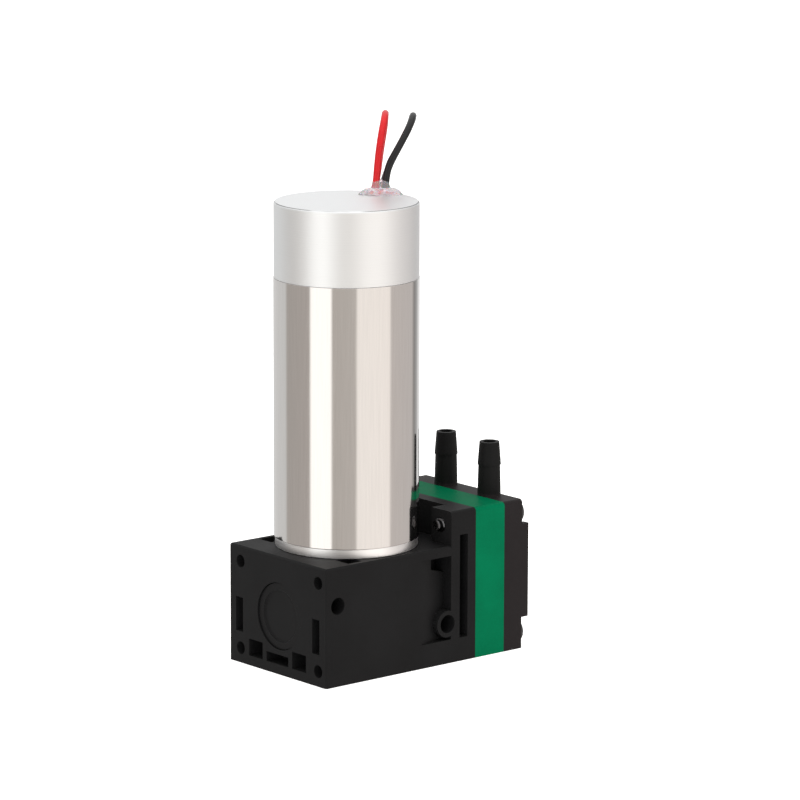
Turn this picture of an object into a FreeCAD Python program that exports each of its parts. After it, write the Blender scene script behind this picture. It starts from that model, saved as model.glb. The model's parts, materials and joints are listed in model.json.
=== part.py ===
"""Diaphragm vacuum pump: a brushless motor in a steel can stands on a moulded crankcase, whose
eccentric and connecting rod drive a diaphragm in the head on its side."""

import FreeCAD, Part
import Sketcher

import math
import os

from FreeCAD import Placement, Rotation, Vector

# Driving sizes in millimetres. X runs along the pump from the end face to the head, Y across it,
# Z up along the motor. Places along X are counted from the end face of the crankcase.
DRIVING_SIZES = {
    # Crankcase moulding
    "block_width": 38.0,
    "block_length": 48.0,
    "block_height": 29.8,
    "flange_thickness": 8.0,
    "flange_rim_thickness": 3.8,
    "flange_lug_half_gap": 11.4,
    "head_height": 38.4,
    "head_corner_radius": 1.0,
    "edge_break": 0.4,
    "motor_axis_x": 22.0,
    "chamber_radius": 12.6,
    "chamber_floor": 4.0,
    "top_plate": 3.8,
    "passage_half_width": 8.7,
    "passage_half_height": 5.4,
    "mouth_wall": 1.0,
    "mouth_radius": 9.4,
    "mouth_flare": 2.0,
    # End face of the crankcase
    "end_middle": -0.7,
    "end_hole_radius": 1.6,
    "end_hole_depth": 10.0,
    "end_hole_spread": 15.2,
    "end_hole_low": 3.8,
    "end_hole_high": 25.9,
    "end_slot_inner": 13.6,
    "end_slot_width": 2.8,
    "end_slot_low": 8.0,
    "end_slot_height": 8.7,
    "core_depth": 5.0,
    "core_low": 2.5,
    "core_middle_half": 4.3,
    "core_middle_height": 2.5,
    "core_side_inner": 5.8,
    "core_side_width": 5.4,
    "core_side_height": 4.3,
    "access_height": 14.7,
    "access_radius": 7.6,
    "plug_radius": 8.4,
    "plug_recess": 0.4,
    "plug_thickness": 2.6,
    "plug_dish_radius": 6.5,
    "plug_dish_depth": 0.4,
    "plug_skirt": 2.4,
    # Sides of the crankcase
    "side_hole_radius": 2.1,
    "side_hole_depth": 8.0,
    "side_hole_x": 3.7,
    "side_hole_height": 20.2,
    "waist_start": 30.0,
    "waist_depth": 3.0,
    "waist_low": 6.0,
    "waist_high": 27.3,
    "pocket_start": 34.5,
    "pocket_left_height": 24.3,
    "pocket_right_height": 22.7,
    "pocket_depth": 6.6,
    "boss_radius": 3.4,
    "boss_bore_radius": 2.3,
    "boss_depth": 8.0,
    "boss_x": 38.9,
    "boss_height": 10.1,
    "edge_slot_start": 2.8,
    "edge_slot_width": 2.6,
    "edge_slot_depth": 3.0,
    "edge_slot_low": 6.0,
    "edge_slot_high": 32.2,
    "top_core_start": 8.2,
    "top_core_length": 4.4,
    "top_core_inner": 12.6,
    "top_core_width": 4.8,
    "top_core_depth": 1.8,
    # Chamber plate and head cover
    "plate_thickness": 9.5,
    "cover_thickness": 5.9,
    "band_thickness": 2.5,
    "band_low": 8.0,
    "band_high": 32.1,
    "head_centre": 19.1,
    "dish_radius": 12.2,
    "dish_lip": 0.9,
    "dish_roof_radius": 9.6,
    "dish_depth": 3.0,
    "port_spacing": 16.6,
    "port_offset": -1.4,
    "port_bore_radius": 1.6,
    "barb_root_radius": 2.95,
    "barb_neck_radius": 2.75,
    "barb_collar_radius": 2.95,
    "barb_tip_radius": 2.5,
    "barb_neck_height": 7.9,
    "barb_height": 13.7,
    "valve_spread": 6.2,
    "valve_hole_radius": 1.8,
    "valve_radius": 3.8,
    "valve_thickness": 0.8,
    "valve_lift": 0.5,
    "gasket_half_width": 12.6,
    "gasket_half_height": 7.0,
    "gasket_bar": 1.6,
    "gasket_thickness": 1.0,
    # Screws
    "screw_spread": 14.8,
    "screw_low": 3.7,
    "screw_high": 34.5,
    "screw_radius": 1.7,
    "screw_length": 25.0,
    "screw_head_radius": 3.1,
    "screw_head_height": 2.0,
    "motor_screw_radius": 1.5,
    "motor_screw_spread": 15.0,
    "motor_screw_grip": 4.0,
    # Diaphragm, rod and eccentric
    "crank_throw": 1.2,
    "diaphragm_radius": 15.7,
    "diaphragm_rim": 1.0,
    "diaphragm_clamp_radius": 11.4,
    "clamp_disc_radius": 7.2,
    "clamp_disc_thickness": 1.4,
    "clamp_screw_radius": 1.5,
    "clamp_screw_head": 2.8,
    "clamp_screw_length": 9.0,
    "rod_head_radius": 7.5,
    "rod_head_thickness": 2.0,
    "rod_ring_radius": 8.3,
    "rod_height": 6.0,
    "rod_neck_half_width": 3.2,
    "rod_root_half_width": 5.0,
    "rod_web_depth": 1.6,
    "rod_bearing_outer": 7.0,
    "rod_bearing_inner": 3.5,
    "rod_bearing_width": 5.0,
    "ball_radius": 0.7,
    "ball_count": 7,
    "hub_radius": 4.6,
    "hub_low": 7.6,
    "counterweight_radius": 11.0,
    "counterweight_height": 6.0,
    "counterweight_chord": 2.0,
    "hub_step": 0.4,
    "set_screw_radius": 1.2,
    "shaft_radius": 1.5,
    # Motor
    "motor_radius": 18.0,
    "can_wall": 0.8,
    "lip_radius": 17.7,
    "lip_height": 2.4,
    "can_height": 64.7,
    "cap_height": 18.7,
    "cap_radius": 17.9,
    "cap_wall": 1.6,
    "cap_roof": 2.0,
    "spigot_height": 4.0,
    "locating_boss_radius": 6.0,
    "locating_boss_height": 2.5,
    "bell_thickness": 6.4,
    "motor_bearing_outer": 4.0,
    "motor_bearing_width": 4.0,
    "race_wall": 0.9,
    "stack_low": 46.0,
    "stack_height": 32.0,
    "stator_yoke": 2.6,
    "stator_bore_radius": 10.0,
    "tooth_count": 6,
    "tooth_width": 4.2,
    "tooth_shoe": 1.6,
    "coil_thickness": 2.0,
    "magnet_radius": 9.5,
    "magnet_wall": 2.4,
    "end_frame_thickness": 2.4,
    "post_radius": 1.2,
    "post_spread": 13.4,
    "post_height": 4.0,
    "board_radius": 15.2,
    "board_thickness": 1.2,
    "shield_thickness": 0.3,
    "washer_thickness": 0.4,
    "magnet_overhang": 1.0,
    "shaft_overhang": 1.4,
    "capacitor_radius": 3.2,
    "capacitor_height": 8.0,
    "capacitor_x": -8.0,
    "capacitor_y": 5.0,
    "controller_side": 5.0,
    "controller_height": 1.4,
    "switch_width": 3.6,
    "switch_length": 4.6,
    "switch_height": 1.3,
    "switch_spread": 6.0,
    "switch_y": -9.0,
    # Leads
    "lead_radius": 0.9,
    "tinned_radius": 0.5,
    "tinned_length": 6.0,
    "outlet_x": 34.95,
    "outlet_y": 2.55,
    "outlet_radius": 2.2,
    "potting_length": 12.0,
    "potting_width": 4.4,
    "potting_turn": -40.0,
    "potting_height": 1.5,
    # Clearances
    "fit": 0.05,
    "running_gap": 0.05,
    "screw_gap": 0.1,
    "cut_margin": 1.0,
}

# Routes of the two leads, from the cap's outlet over the back and down to the table. Each point is
# (along, across, up) in the part's own frame, with the length beyond the cap put away behind it.
RED_ROUTE = [
    Vector(1.1, 3.3, 117.1),
    Vector(1.6, 3.3, 123.0),
    Vector(3.0, 3.7, 129.5),
    Vector(6.3, 6.1, 134.2),
    Vector(10.6, 11.0, 134.6),
    Vector(13.6, 15.0, 130.2),
    Vector(14.4, 17.6, 123.5),
    Vector(14.4, 18.9, 116.0),
    Vector(12.5, 21.0, 104.0),
    Vector(10.5, 22.5, 90.0),
    Vector(9.0, 23.3, 74.0),
    Vector(8.2, 23.6, 58.0),
    Vector(7.8, 24.0, 42.0),
    Vector(8.0, 24.6, 28.0),
    Vector(9.0, 25.8, 14.0),
    Vector(12.0, 27.5, 4.5),
    Vector(19.0, 29.5, 1.0),
    Vector(27.0, 32.3, 1.0),
    Vector(33.6, 38.0, 1.0),
    Vector(34.2, 46.2, 1.0),
    Vector(28.0, 51.8, 1.0),
    Vector(19.0, 51.4, 1.0),
    Vector(11.0, 48.0, 1.0),
    Vector(3.0, 45.6, 1.0),
    Vector(-5.0, 45.2, 1.0),
]
BLACK_ROUTE = [
    Vector(2.9, 1.8, 117.1),
    Vector(3.4, 1.7, 122.3),
    Vector(5.5, 1.3, 127.6),
    Vector(9.9, 2.4, 132.3),
    Vector(15.2, 5.8, 134.3),
    Vector(18.7, 10.8, 131.5),
    Vector(19.6, 15.2, 125.5),
    Vector(18.6, 18.6, 117.5),
    Vector(15.5, 22.5, 103.0),
    Vector(12.8, 25.2, 84.0),
    Vector(11.2, 26.6, 60.0),
    Vector(10.8, 27.2, 36.0),
    Vector(11.8, 28.3, 18.0),
    Vector(15.0, 30.5, 6.5),
    Vector(20.5, 33.6, 1.0),
    Vector(26.2, 35.6, 1.0),
    Vector(29.4, 40.1, 1.0),
    Vector(28.4, 45.6, 1.0),
    Vector(23.2, 48.6, 1.0),
    Vector(15.0, 45.6, 1.0),
    Vector(7.6, 41.8, 1.0),
    Vector(0.4, 39.8, 1.0),
]

doc = FreeCAD.newDocument("diaphragm_vacuum_pump")
sheet = doc.addObject("Spreadsheet::Sheet", "Sizes")
for row, (alias, number) in enumerate(DRIVING_SIZES.items(), start=1):
    sheet.set(f"A{row}", alias)
    sheet.set(f"B{row}", str(number))
    sheet.setAlias(f"B{row}", alias)
doc.recompute()


class Size:
    """A length with its number and the expression that ties it to the sheet."""

    def __init__(self, value, text):
        self.value = float(value)
        self.text = text

    def __add__(self, other):
        other = as_size(other)
        return Size(self.value + other.value, f"({self.text} + {other.text})")

    def __sub__(self, other):
        other = as_size(other)
        return Size(self.value - other.value, f"({self.text} - {other.text})")

    def __mul__(self, other):
        other = as_size(other)
        return Size(self.value * other.value, f"({self.text} * {other.text})")

    def __truediv__(self, other):
        other = as_size(other)
        return Size(self.value / other.value, f"({self.text} / {other.text})")

    def __neg__(self):
        return Size(-self.value, f"(0 - {self.text})")

    __radd__ = __add__

    def __rsub__(self, other):
        return as_size(other) - self


def as_size(value):
    return value if isinstance(value, Size) else Size(value, f"{float(value):.6f}")


def size(alias):
    return Size(sheet.get(alias), f"Sizes.{alias}")


def origin_plane(body, role):
    for feature in body.Origin.OriginFeatures:
        if feature.Role == role:
            return feature


def bind(item, name, value):
    """Set a property to a size and tie it to the sheet."""
    item.setExpression(name, as_size(value).text)


def add_body(label):
    body = doc.addObject("PartDesign::Body", label)
    body.Label = label
    return body


def add_sketch(body, role, lift=0.0, across=0.0, up=0.0):
    """A sketch on one of the body's own planes, lifted along the plane's axis."""
    sketch = body.newObject("Sketcher::SketchObject", f"{body.Label}_sketch")
    sketch.AttachmentSupport = [(origin_plane(body, role), "")]
    sketch.MapMode = "FlatFace"
    sign = -1.0 if role == "XZ_Plane" else 1.0
    bind(sketch, "AttachmentOffset.Base.z", as_size(lift) * sign)
    bind(sketch, "AttachmentOffset.Base.x", across)
    bind(sketch, "AttachmentOffset.Base.y", up)
    return sketch


def tie_point(sketch, geometry, end, x, y):
    """Hold a point of the sketch at its place from the sketch's own origin."""
    for kind, value in (("DistanceX", as_size(x)), ("DistanceY", as_size(y))):
        index = sketch.addConstraint(Sketcher.Constraint(kind, -1, 1, geometry, end, value.value))
        sketch.setExpression(f"Constraints[{index}]", value.text)


def add_polygon(sketch, points):
    """A closed outline of straight lines."""
    places = [Vector(as_size(x).value, as_size(y).value, 0) for x, y in points]
    first = sketch.GeometryCount
    count = len(places)
    for index, start in enumerate(places):
        sketch.addGeometry(Part.LineSegment(start, places[(index + 1) % count]), False)
    for index in range(count):
        after = first + (index + 1) % count
        sketch.addConstraint(Sketcher.Constraint("Coincident", first + index, 2, after, 1))
    for index, (x, y) in enumerate(points):
        tie_point(sketch, first + index, 1, x, y)


def add_rectangle(sketch, left, right, low, high):
    add_polygon(sketch, [(left, low), (right, low), (right, high), (left, high)])


def add_circle(sketch, x, y, radius):
    x, y, radius = as_size(x), as_size(y), as_size(radius)
    circle = Part.Circle(Vector(x.value, y.value, 0), Vector(0, 0, 1), radius.value)
    geometry = sketch.addGeometry(circle, False)
    index = sketch.addConstraint(Sketcher.Constraint("Radius", geometry, radius.value))
    sketch.setExpression(f"Constraints[{index}]", radius.text)
    tie_point(sketch, geometry, 3, x, y)


def add_pad(body, sketch, length):
    """Grow the sketch along its plane's positive axis."""
    pad = body.newObject("PartDesign::Pad", f"{body.Label}_pad")
    pad.Profile = sketch
    bind(pad, "Length", length)
    pad.Reversed = sketch.AttachmentSupport[0][0].Role == "XZ_Plane"
    return pad


def add_pocket(body, sketch, length):
    """Cut the sketch out along its plane's positive axis."""
    pocket = body.newObject("PartDesign::Pocket", f"{body.Label}_pocket")
    pocket.Profile = sketch
    bind(pocket, "Length", length)
    pocket.Reversed = sketch.AttachmentSupport[0][0].Role != "XZ_Plane"
    return pocket


def add_turned(body, points, role="XZ_Plane", axis="V_Axis", cut=False, **place):
    """Turn an outline about one axis of its sketch, as a solid or as a cut."""
    sketch = add_sketch(body, role, **place)
    add_polygon(sketch, points)
    kind = "PartDesign::Groove" if cut else "PartDesign::Revolution"
    turned = body.newObject(kind, f"{body.Label}_turned")
    turned.Profile = sketch
    turned.ReferenceAxis = (sketch, [axis])
    turned.Angle = 360.0
    return turned


def edges_where(shape, test):
    """Names of the shape's edges whose middle point and direction pass the test."""
    names = []
    for index, edge in enumerate(shape.Edges, start=1):
        if edge.Curve.TypeId != "Part::GeomLine":
            continue
        middle = (edge.Vertexes[0].Point + edge.Vertexes[-1].Point) * 0.5
        along = edge.Vertexes[-1].Point - edge.Vertexes[0].Point
        if test(middle, along.normalize()):
            names.append(f"Edge{index}")
    return names


def dress_edges(body, kind, property_name, amount, test):
    """Fillet or chamfer the edges of the body's last feature that pass the test."""
    doc.recompute()
    base = body.Tip
    feature = body.newObject(f"PartDesign::{kind}", f"{body.Label}_{kind.lower()}")
    feature.Base = (base, edges_where(base.Shape, test))
    bind(feature, property_name, amount)
    doc.recompute()
    return feature


def mirror_across(body, features):
    """Repeat features on the far side of the pump's middle plane."""
    mirrored = body.newObject("PartDesign::Mirrored", f"{body.Label}_mirrored")
    mirrored.Originals = features
    mirrored.MirrorPlane = (origin_plane(body, "XZ_Plane"), [""])
    body.Tip = mirrored
    return mirrored


# Places that several pieces share
HALF_WIDTH = size("block_width") / 2
END_MIDDLE = size("end_middle")
MOTOR_X = size("motor_axis_x")
FLANGE_X = size("block_length") - size("flange_thickness")
PLATE_X = size("block_length")
COVER_X = PLATE_X + size("plate_thickness")
COVER_FACE_X = COVER_X + size("cover_thickness")
HEAD_FACE_X = COVER_FACE_X + size("band_thickness")
CHAMBER_TOP = size("block_height") - size("top_plate")
HEAD_CENTRE = size("head_centre")
FIT = size("fit")
PINS = [(side, height) for side in (-1, 1) for height in ("screw_low", "screw_high")]
PORTS_Y = (size("port_offset") + size("port_spacing") / 2, size("port_offset") - size("port_spacing") / 2)


def both_sides(inner, width):
    """Left and right limits of a feature and of its match on the far side of the middle."""
    near, far = size(inner), size(inner) + size(width)
    return [(-far, -near), (near, far)]


def screw_places():
    """Across and up for the four head screws."""
    return [(size("screw_spread") * side, size(height)) for side, height in PINS]


def head_outline(sketch):
    add_rectangle(sketch, -HALF_WIDTH, HALF_WIDTH, 0, size("head_height"))


def round_head(body):
    """Round the upper corners of a head plate."""
    half = HALF_WIDTH.value
    top = size("head_height").value

    def upper(middle, along):
        return abs(along.x) > 0.99 and abs(abs(middle.y) - half) < 0.01 and abs(middle.z - top) < 0.01

    dress_edges(body, "Fillet", "Radius", size("head_corner_radius"), upper)


def make_crankcase():
    """Moulded block that carries the motor, with the flange for the head at its end."""
    body = add_body("crankcase")
    half = HALF_WIDTH

    flange = add_sketch(body, "YZ_Plane", FLANGE_X)
    head_outline(flange)
    add_pad(body, flange, size("flange_thickness"))
    round_head(body)
    block = add_sketch(body, "XY_Plane")
    add_rectangle(block, 0, FLANGE_X, -half, half)
    add_pad(body, block, size("block_height"))

    def outer_edge(middle, along):
        front = abs(middle.x) < 0.01
        side = abs(abs(middle.y) - half.value) < 0.01 and middle.x < FLANGE_X.value - 0.01
        base = middle.z < 0.01
        return (front or side) and not base

    dress_edges(body, "Chamfer", "Size", size("edge_break"), outer_edge)

    # Room for the motor beside the flange's thin rim
    relief = add_sketch(body, "XY_Plane", size("block_height"))
    gap = size("flange_lug_half_gap")
    add_rectangle(relief, FLANGE_X - 1, PLATE_X - size("flange_rim_thickness"), -gap, gap)
    add_pocket(body, relief, size("head_height"))

    # Crank chamber under the motor, the motor's locating bore and the screws beside it
    chamber = add_sketch(body, "XY_Plane", size("chamber_floor"))
    add_circle(chamber, MOTOR_X, 0, size("chamber_radius"))
    add_pocket(body, chamber, CHAMBER_TOP - size("chamber_floor"))
    margin = size("cut_margin")
    bore = add_sketch(body, "XY_Plane", CHAMBER_TOP - margin)
    add_circle(bore, MOTOR_X, 0, size("locating_boss_radius") + FIT)
    add_pocket(body, bore, size("top_plate") + margin * 2)
    shanks = add_sketch(body, "XY_Plane")
    heads = add_sketch(body, "XY_Plane")
    for side in (-1, 1):
        spot = size("motor_screw_spread") * side
        add_circle(shanks, MOTOR_X, spot, size("motor_screw_radius") + size("screw_gap"))
        add_circle(heads, MOTOR_X, spot, size("screw_head_radius") + size("screw_gap"))
    add_pocket(body, shanks, size("block_height") + 1)
    add_pocket(body, heads, size("screw_head_height") + size("screw_gap") * 2)

    # Passage for the rod, and the mouth behind the diaphragm
    passage = add_sketch(body, "YZ_Plane", MOTOR_X)
    wide, tall = size("passage_half_width"), size("passage_half_height")
    add_rectangle(passage, -wide, wide, HEAD_CENTRE - tall, HEAD_CENTRE + tall)
    add_pocket(body, passage, PLATE_X - MOTOR_X)
    mouth = [
        (FLANGE_X + size("mouth_wall"), 0),
        (FLANGE_X + size("mouth_wall"), size("mouth_radius")),
        (PLATE_X - size("diaphragm_rim") - size("mouth_flare"), size("mouth_radius")),
        (PLATE_X - size("diaphragm_rim"), size("dish_radius")),
        (PLATE_X - size("diaphragm_rim"), size("diaphragm_radius") + FIT),
        (PLATE_X, size("diaphragm_radius") + FIT),
        (PLATE_X, 0),
    ]
    add_turned(body, mouth, axis="H_Axis", cut=True, up=HEAD_CENTRE)
    tip_x = COVER_FACE_X - size("screw_length") - size("edge_break")
    cut_screw_holes(body, tip_x, PLATE_X - tip_x)

    # End face: mounting holes, slots, cored pockets and the hole to the eccentric's set screw
    holes = add_sketch(body, "YZ_Plane")
    for across in (END_MIDDLE - size("end_hole_spread"), END_MIDDLE + size("end_hole_spread")):
        for up in (size("end_hole_low"), size("end_hole_high")):
            add_circle(holes, across, up, size("end_hole_radius"))
    add_pocket(body, holes, size("end_hole_depth"))
    cores = add_sketch(body, "YZ_Plane")
    low = size("core_low")
    middle = size("core_middle_half")
    add_rectangle(cores, -middle, middle, low, low + size("core_middle_height"))
    slot_low = size("end_slot_low")
    for left, right in both_sides("end_slot_inner", "end_slot_width"):
        add_rectangle(cores, left, right, slot_low, slot_low + size("end_slot_height"))
    for left, right in both_sides("core_side_inner", "core_side_width"):
        add_rectangle(cores, left, right, low, low + size("core_side_height"))
    add_pocket(body, cores, size("core_depth"))
    access = add_sketch(body, "YZ_Plane")
    add_circle(access, END_MIDDLE, size("access_height"), size("access_radius"))
    add_pocket(body, access, MOTOR_X)
    seat = add_sketch(body, "YZ_Plane")
    add_circle(seat, END_MIDDLE, size("access_height"), size("plug_radius") + FIT)
    add_pocket(body, seat, size("plug_thickness"))

    # Top face: two cored pockets in front of the motor
    top_cores = add_sketch(body, "XY_Plane", size("block_height") - size("top_core_depth"))
    start = size("top_core_start")
    for left, right in both_sides("top_core_inner", "top_core_width"):
        add_rectangle(top_cores, start, start + size("top_core_length"), left, right)
    add_pocket(body, top_cores, size("top_core_depth") + 1)

    # Sides: the waist behind the flange, the dark pocket over it, the hollow boss and the holes
    outside = -(half + 1)
    waist = add_sketch(body, "XY_Plane", size("waist_low"))
    add_polygon(
        waist,
        [
            (size("waist_start"), outside),
            (FLANGE_X, outside),
            (FLANGE_X, size("waist_depth") - half),
            (size("waist_start"), -half),
        ],
    )
    waist_cut = add_pocket(body, waist, size("waist_high") - size("waist_low"))
    pocket = add_sketch(body, "XZ_Plane", -half)
    start = size("pocket_start")
    add_polygon(
        pocket,
        [
            (start, size("pocket_left_height")),
            (FLANGE_X, size("pocket_right_height")),
            (FLANGE_X, size("waist_high")),
            (start, size("waist_high")),
        ],
    )
    pocket_cut = add_pocket(body, pocket, size("pocket_depth"))
    edge_slot = add_sketch(body, "XZ_Plane", -half)
    slot_start = FLANGE_X + size("edge_slot_start")
    slot_end = slot_start + size("edge_slot_width")
    add_rectangle(edge_slot, slot_start, slot_end, size("edge_slot_low"), size("edge_slot_high"))
    slot_cut = add_pocket(body, edge_slot, size("edge_slot_depth"))
    mirror_across(body, [waist_cut, pocket_cut, slot_cut])
    boss = add_sketch(body, "XZ_Plane", -half)
    add_circle(boss, size("boss_x"), size("boss_height"), size("boss_radius"))
    boss_pad = add_pad(body, boss, size("boss_depth"))
    mirror_across(body, [boss_pad])
    bores = add_sketch(body, "XZ_Plane", -half)
    add_circle(bores, size("boss_x"), size("boss_height"), size("boss_bore_radius"))
    bore_cut = add_pocket(body, bores, size("boss_depth"))
    side_holes = add_sketch(body, "XZ_Plane", -half)
    add_circle(side_holes, size("side_hole_x"), size("side_hole_height"), size("side_hole_radius"))
    hole_cut = add_pocket(body, side_holes, size("side_hole_depth"))
    mirror_across(body, [bore_cut, hole_cut])
    return body


def make_access_plug():
    """Round plug pressed a little way into the end face, dished inside its rim, with a short skirt."""
    body = add_body("access_plug")
    outer, skirt = size("plug_radius"), size("access_radius") - FIT
    thick, face = size("plug_thickness"), size("plug_recess")
    dish = face + size("plug_dish_depth")
    inner = skirt - size("lip_height") / 2
    deep = thick + size("plug_skirt")
    outline = [(dish, 0), (dish, size("plug_dish_radius")), (face, size("plug_dish_radius")), (face, outer)]
    outline += [(thick, outer), (thick, skirt), (deep, skirt), (deep, inner), (thick, inner), (thick, 0)]
    add_turned(body, outline, axis="H_Axis", up=size("access_height"), lift=END_MIDDLE)
    return body


def cut_screw_holes(body, start, length):
    pins = add_sketch(body, "YZ_Plane", start)
    for across, up in screw_places():
        add_circle(pins, across, up, size("screw_radius") + size("screw_gap"))
    add_pocket(body, pins, length)


def valve_recess_radius():
    return size("valve_radius") + size("screw_gap") * 4


def valve_recess_depth():
    return size("valve_thickness") + size("valve_lift") + size("screw_gap") * 2


def make_chamber_plate():
    """Green plate between the diaphragm and the cover: the dished chamber and the valve ports."""
    body = add_body("chamber_plate")
    plate = add_sketch(body, "YZ_Plane", PLATE_X)
    head_outline(plate)
    add_pad(body, plate, size("plate_thickness"))
    round_head(body)
    roof = PLATE_X + size("dish_depth")
    wide = size("dish_radius")
    dish = [(PLATE_X - 1, 0), (PLATE_X - 1, wide), (PLATE_X + size("dish_lip"), wide)]
    dish += [(roof, size("dish_roof_radius")), (roof, 0)]
    add_turned(body, dish, axis="H_Axis", cut=True, up=HEAD_CENTRE)
    ports = add_sketch(body, "YZ_Plane", roof - 1)
    for side in (-1, 1):
        add_circle(ports, size("valve_spread") * side, HEAD_CENTRE, size("valve_hole_radius"))
    add_pocket(body, ports, size("plate_thickness"))
    recess = add_sketch(body, "YZ_Plane", COVER_X - valve_recess_depth())
    add_circle(recess, size("valve_spread"), HEAD_CENTRE, valve_recess_radius())
    add_pocket(body, recess, size("plate_thickness"))
    groove = add_sketch(body, "YZ_Plane", COVER_X - valve_recess_depth() - size("valve_thickness"))
    near = size("valve_spread") - size("valve_radius")
    far = size("valve_spread") + size("valve_radius")
    tall = size("valve_thickness")
    add_rectangle(groove, near, far, HEAD_CENTRE - tall, HEAD_CENTRE + tall)
    add_pocket(body, groove, size("plate_thickness"))
    cut_screw_holes(body, PLATE_X, size("plate_thickness"))
    return body


def gasket_outline(sketch, slack):
    """A frame with a bar across its middle, round the two valve chambers."""
    wide, bar = size("gasket_half_width"), size("gasket_bar")
    low, high = HEAD_CENTRE - size("gasket_half_height"), HEAD_CENTRE + size("gasket_half_height")
    add_rectangle(sketch, -wide - slack, wide + slack, low - slack, high + slack)
    inner_low, inner_high = low + bar + slack, high - bar - slack
    add_rectangle(sketch, -wide + bar + slack, -bar / 2 - slack, inner_low, inner_high)
    add_rectangle(sketch, bar / 2 + slack, wide - bar - slack, inner_low, inner_high)


PORT_X = COVER_X + size("cover_thickness") / 2


def make_head_cover():
    """Cover with the raised band across its face and the two hose barbs on its top."""
    body = add_body("head_cover")
    cover = add_sketch(body, "YZ_Plane", COVER_X)
    head_outline(cover)
    add_pad(body, cover, size("cover_thickness"))
    round_head(body)
    band = add_sketch(body, "YZ_Plane", COVER_FACE_X)
    add_rectangle(band, -HALF_WIDTH, HALF_WIDTH, size("band_low"), size("band_high"))
    add_pad(body, band, size("band_thickness"))
    reliefs = add_sketch(body, "YZ_Plane", COVER_FACE_X)
    for across, up in screw_places():
        add_circle(reliefs, across, up, size("screw_head_radius") + size("screw_gap") * 3)
    add_pocket(body, reliefs, size("band_thickness"))

    def band_edge(middle, along):
        return middle.x > HEAD_FACE_X.value - 0.01

    dress_edges(body, "Chamfer", "Size", size("edge_break"), band_edge)
    top = size("head_height")
    for port_y in PORTS_Y:
        outline = [
            (0, top - 1),
            (size("barb_root_radius"), top - 1),
            (size("barb_root_radius"), top),
            (size("barb_neck_radius"), top + size("barb_neck_height")),
            (size("barb_collar_radius"), top + size("barb_neck_height")),
            (size("barb_tip_radius"), top + size("barb_height")),
            (0, top + size("barb_height")),
        ]
        sketch_place = {"lift": port_y, "across": PORT_X}
        add_turned(body, outline, **sketch_place)
    bores = add_sketch(body, "XY_Plane", HEAD_CENTRE)
    for port_y in PORTS_Y:
        add_circle(bores, PORT_X, port_y, size("port_bore_radius"))
    add_pocket(body, bores, top + size("barb_height"))
    inlet = add_sketch(body, "YZ_Plane", COVER_X)
    add_circle(inlet, size("valve_spread"), HEAD_CENTRE, size("valve_hole_radius"))
    add_pocket(body, inlet, PORT_X - COVER_X)
    outlet = add_sketch(body, "YZ_Plane", COVER_X)
    add_circle(outlet, -size("valve_spread"), HEAD_CENTRE, valve_recess_radius())
    add_pocket(body, outlet, valve_recess_depth())
    link = add_sketch(body, "YZ_Plane", COVER_X)
    link_y = PORTS_Y[1] + size("valve_lift")
    add_circle(link, link_y, HEAD_CENTRE, size("port_bore_radius"))
    add_pocket(body, link, PORT_X - COVER_X)
    groove = add_sketch(body, "YZ_Plane", COVER_X)
    gasket_outline(groove, FIT)
    add_pocket(body, groove, size("gasket_thickness"))
    cut_screw_holes(body, COVER_X, size("cover_thickness"))
    return body


def make_head_gasket():
    body = add_body("head_gasket")
    frame = add_sketch(body, "YZ_Plane", COVER_X)
    gasket_outline(frame, 0)
    add_pad(body, frame, size("gasket_thickness"))
    return body


# Diaphragm, drawn with the rod pulled back by one throw of the eccentric
RIM_X = PLATE_X - size("diaphragm_rim")
PULLED_X = RIM_X - size("crank_throw")
DISC_X = PLATE_X - size("crank_throw")
CRANK_X = MOTOR_X - size("crank_throw")
CLAMP_BORE = size("clamp_screw_radius") + size("screw_gap")


def make_diaphragm():
    """Moulded rubber disc: a thick rim in its groove, a thin slope and a flat middle."""
    body = add_body("diaphragm")
    flat, slope = size("clamp_disc_radius"), size("diaphragm_clamp_radius")
    step = size("edge_break")
    outline = [(PULLED_X, CLAMP_BORE), (PULLED_X, flat + step * 2), (RIM_X, slope)]
    outline += [(RIM_X, size("diaphragm_radius")), (PLATE_X, size("diaphragm_radius"))]
    outline += [(PLATE_X, slope + step), (DISC_X, flat + step), (DISC_X, CLAMP_BORE)]
    add_turned(body, outline, axis="H_Axis", up=HEAD_CENTRE)
    return body


def make_clamp_disc():
    """Washer over the diaphragm's middle, countersunk for its screw."""
    body = add_body("clamp_disc")
    face = DISC_X + size("clamp_disc_thickness")
    radius, step = size("clamp_disc_radius"), size("edge_break")
    outline = [(DISC_X, CLAMP_BORE), (DISC_X, radius), (face - step, radius), (face, radius - step)]
    outline += [(face, size("clamp_screw_head") + FIT), (DISC_X + FIT, CLAMP_BORE)]
    add_turned(body, outline, axis="H_Axis", up=HEAD_CENTRE)
    return body


def make_clamp_screw():
    body = add_body("clamp_screw")
    face = DISC_X + size("clamp_disc_thickness")
    radius, head = size("clamp_screw_radius"), size("clamp_screw_head")
    tip = face - size("clamp_screw_length")
    outline = [(face, 0), (face, head), (DISC_X + FIT * 3, radius), (tip, radius), (tip, 0)]
    add_turned(body, outline, axis="H_Axis", up=HEAD_CENTRE)
    socket = add_sketch(body, "YZ_Plane", DISC_X + size("edge_break"), 0, HEAD_CENTRE)
    flat = size("clamp_screw_radius") * 0.6
    add_rectangle(socket, -flat, flat, -flat, flat)
    add_pocket(body, socket, size("clamp_disc_thickness"))
    return body


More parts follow.
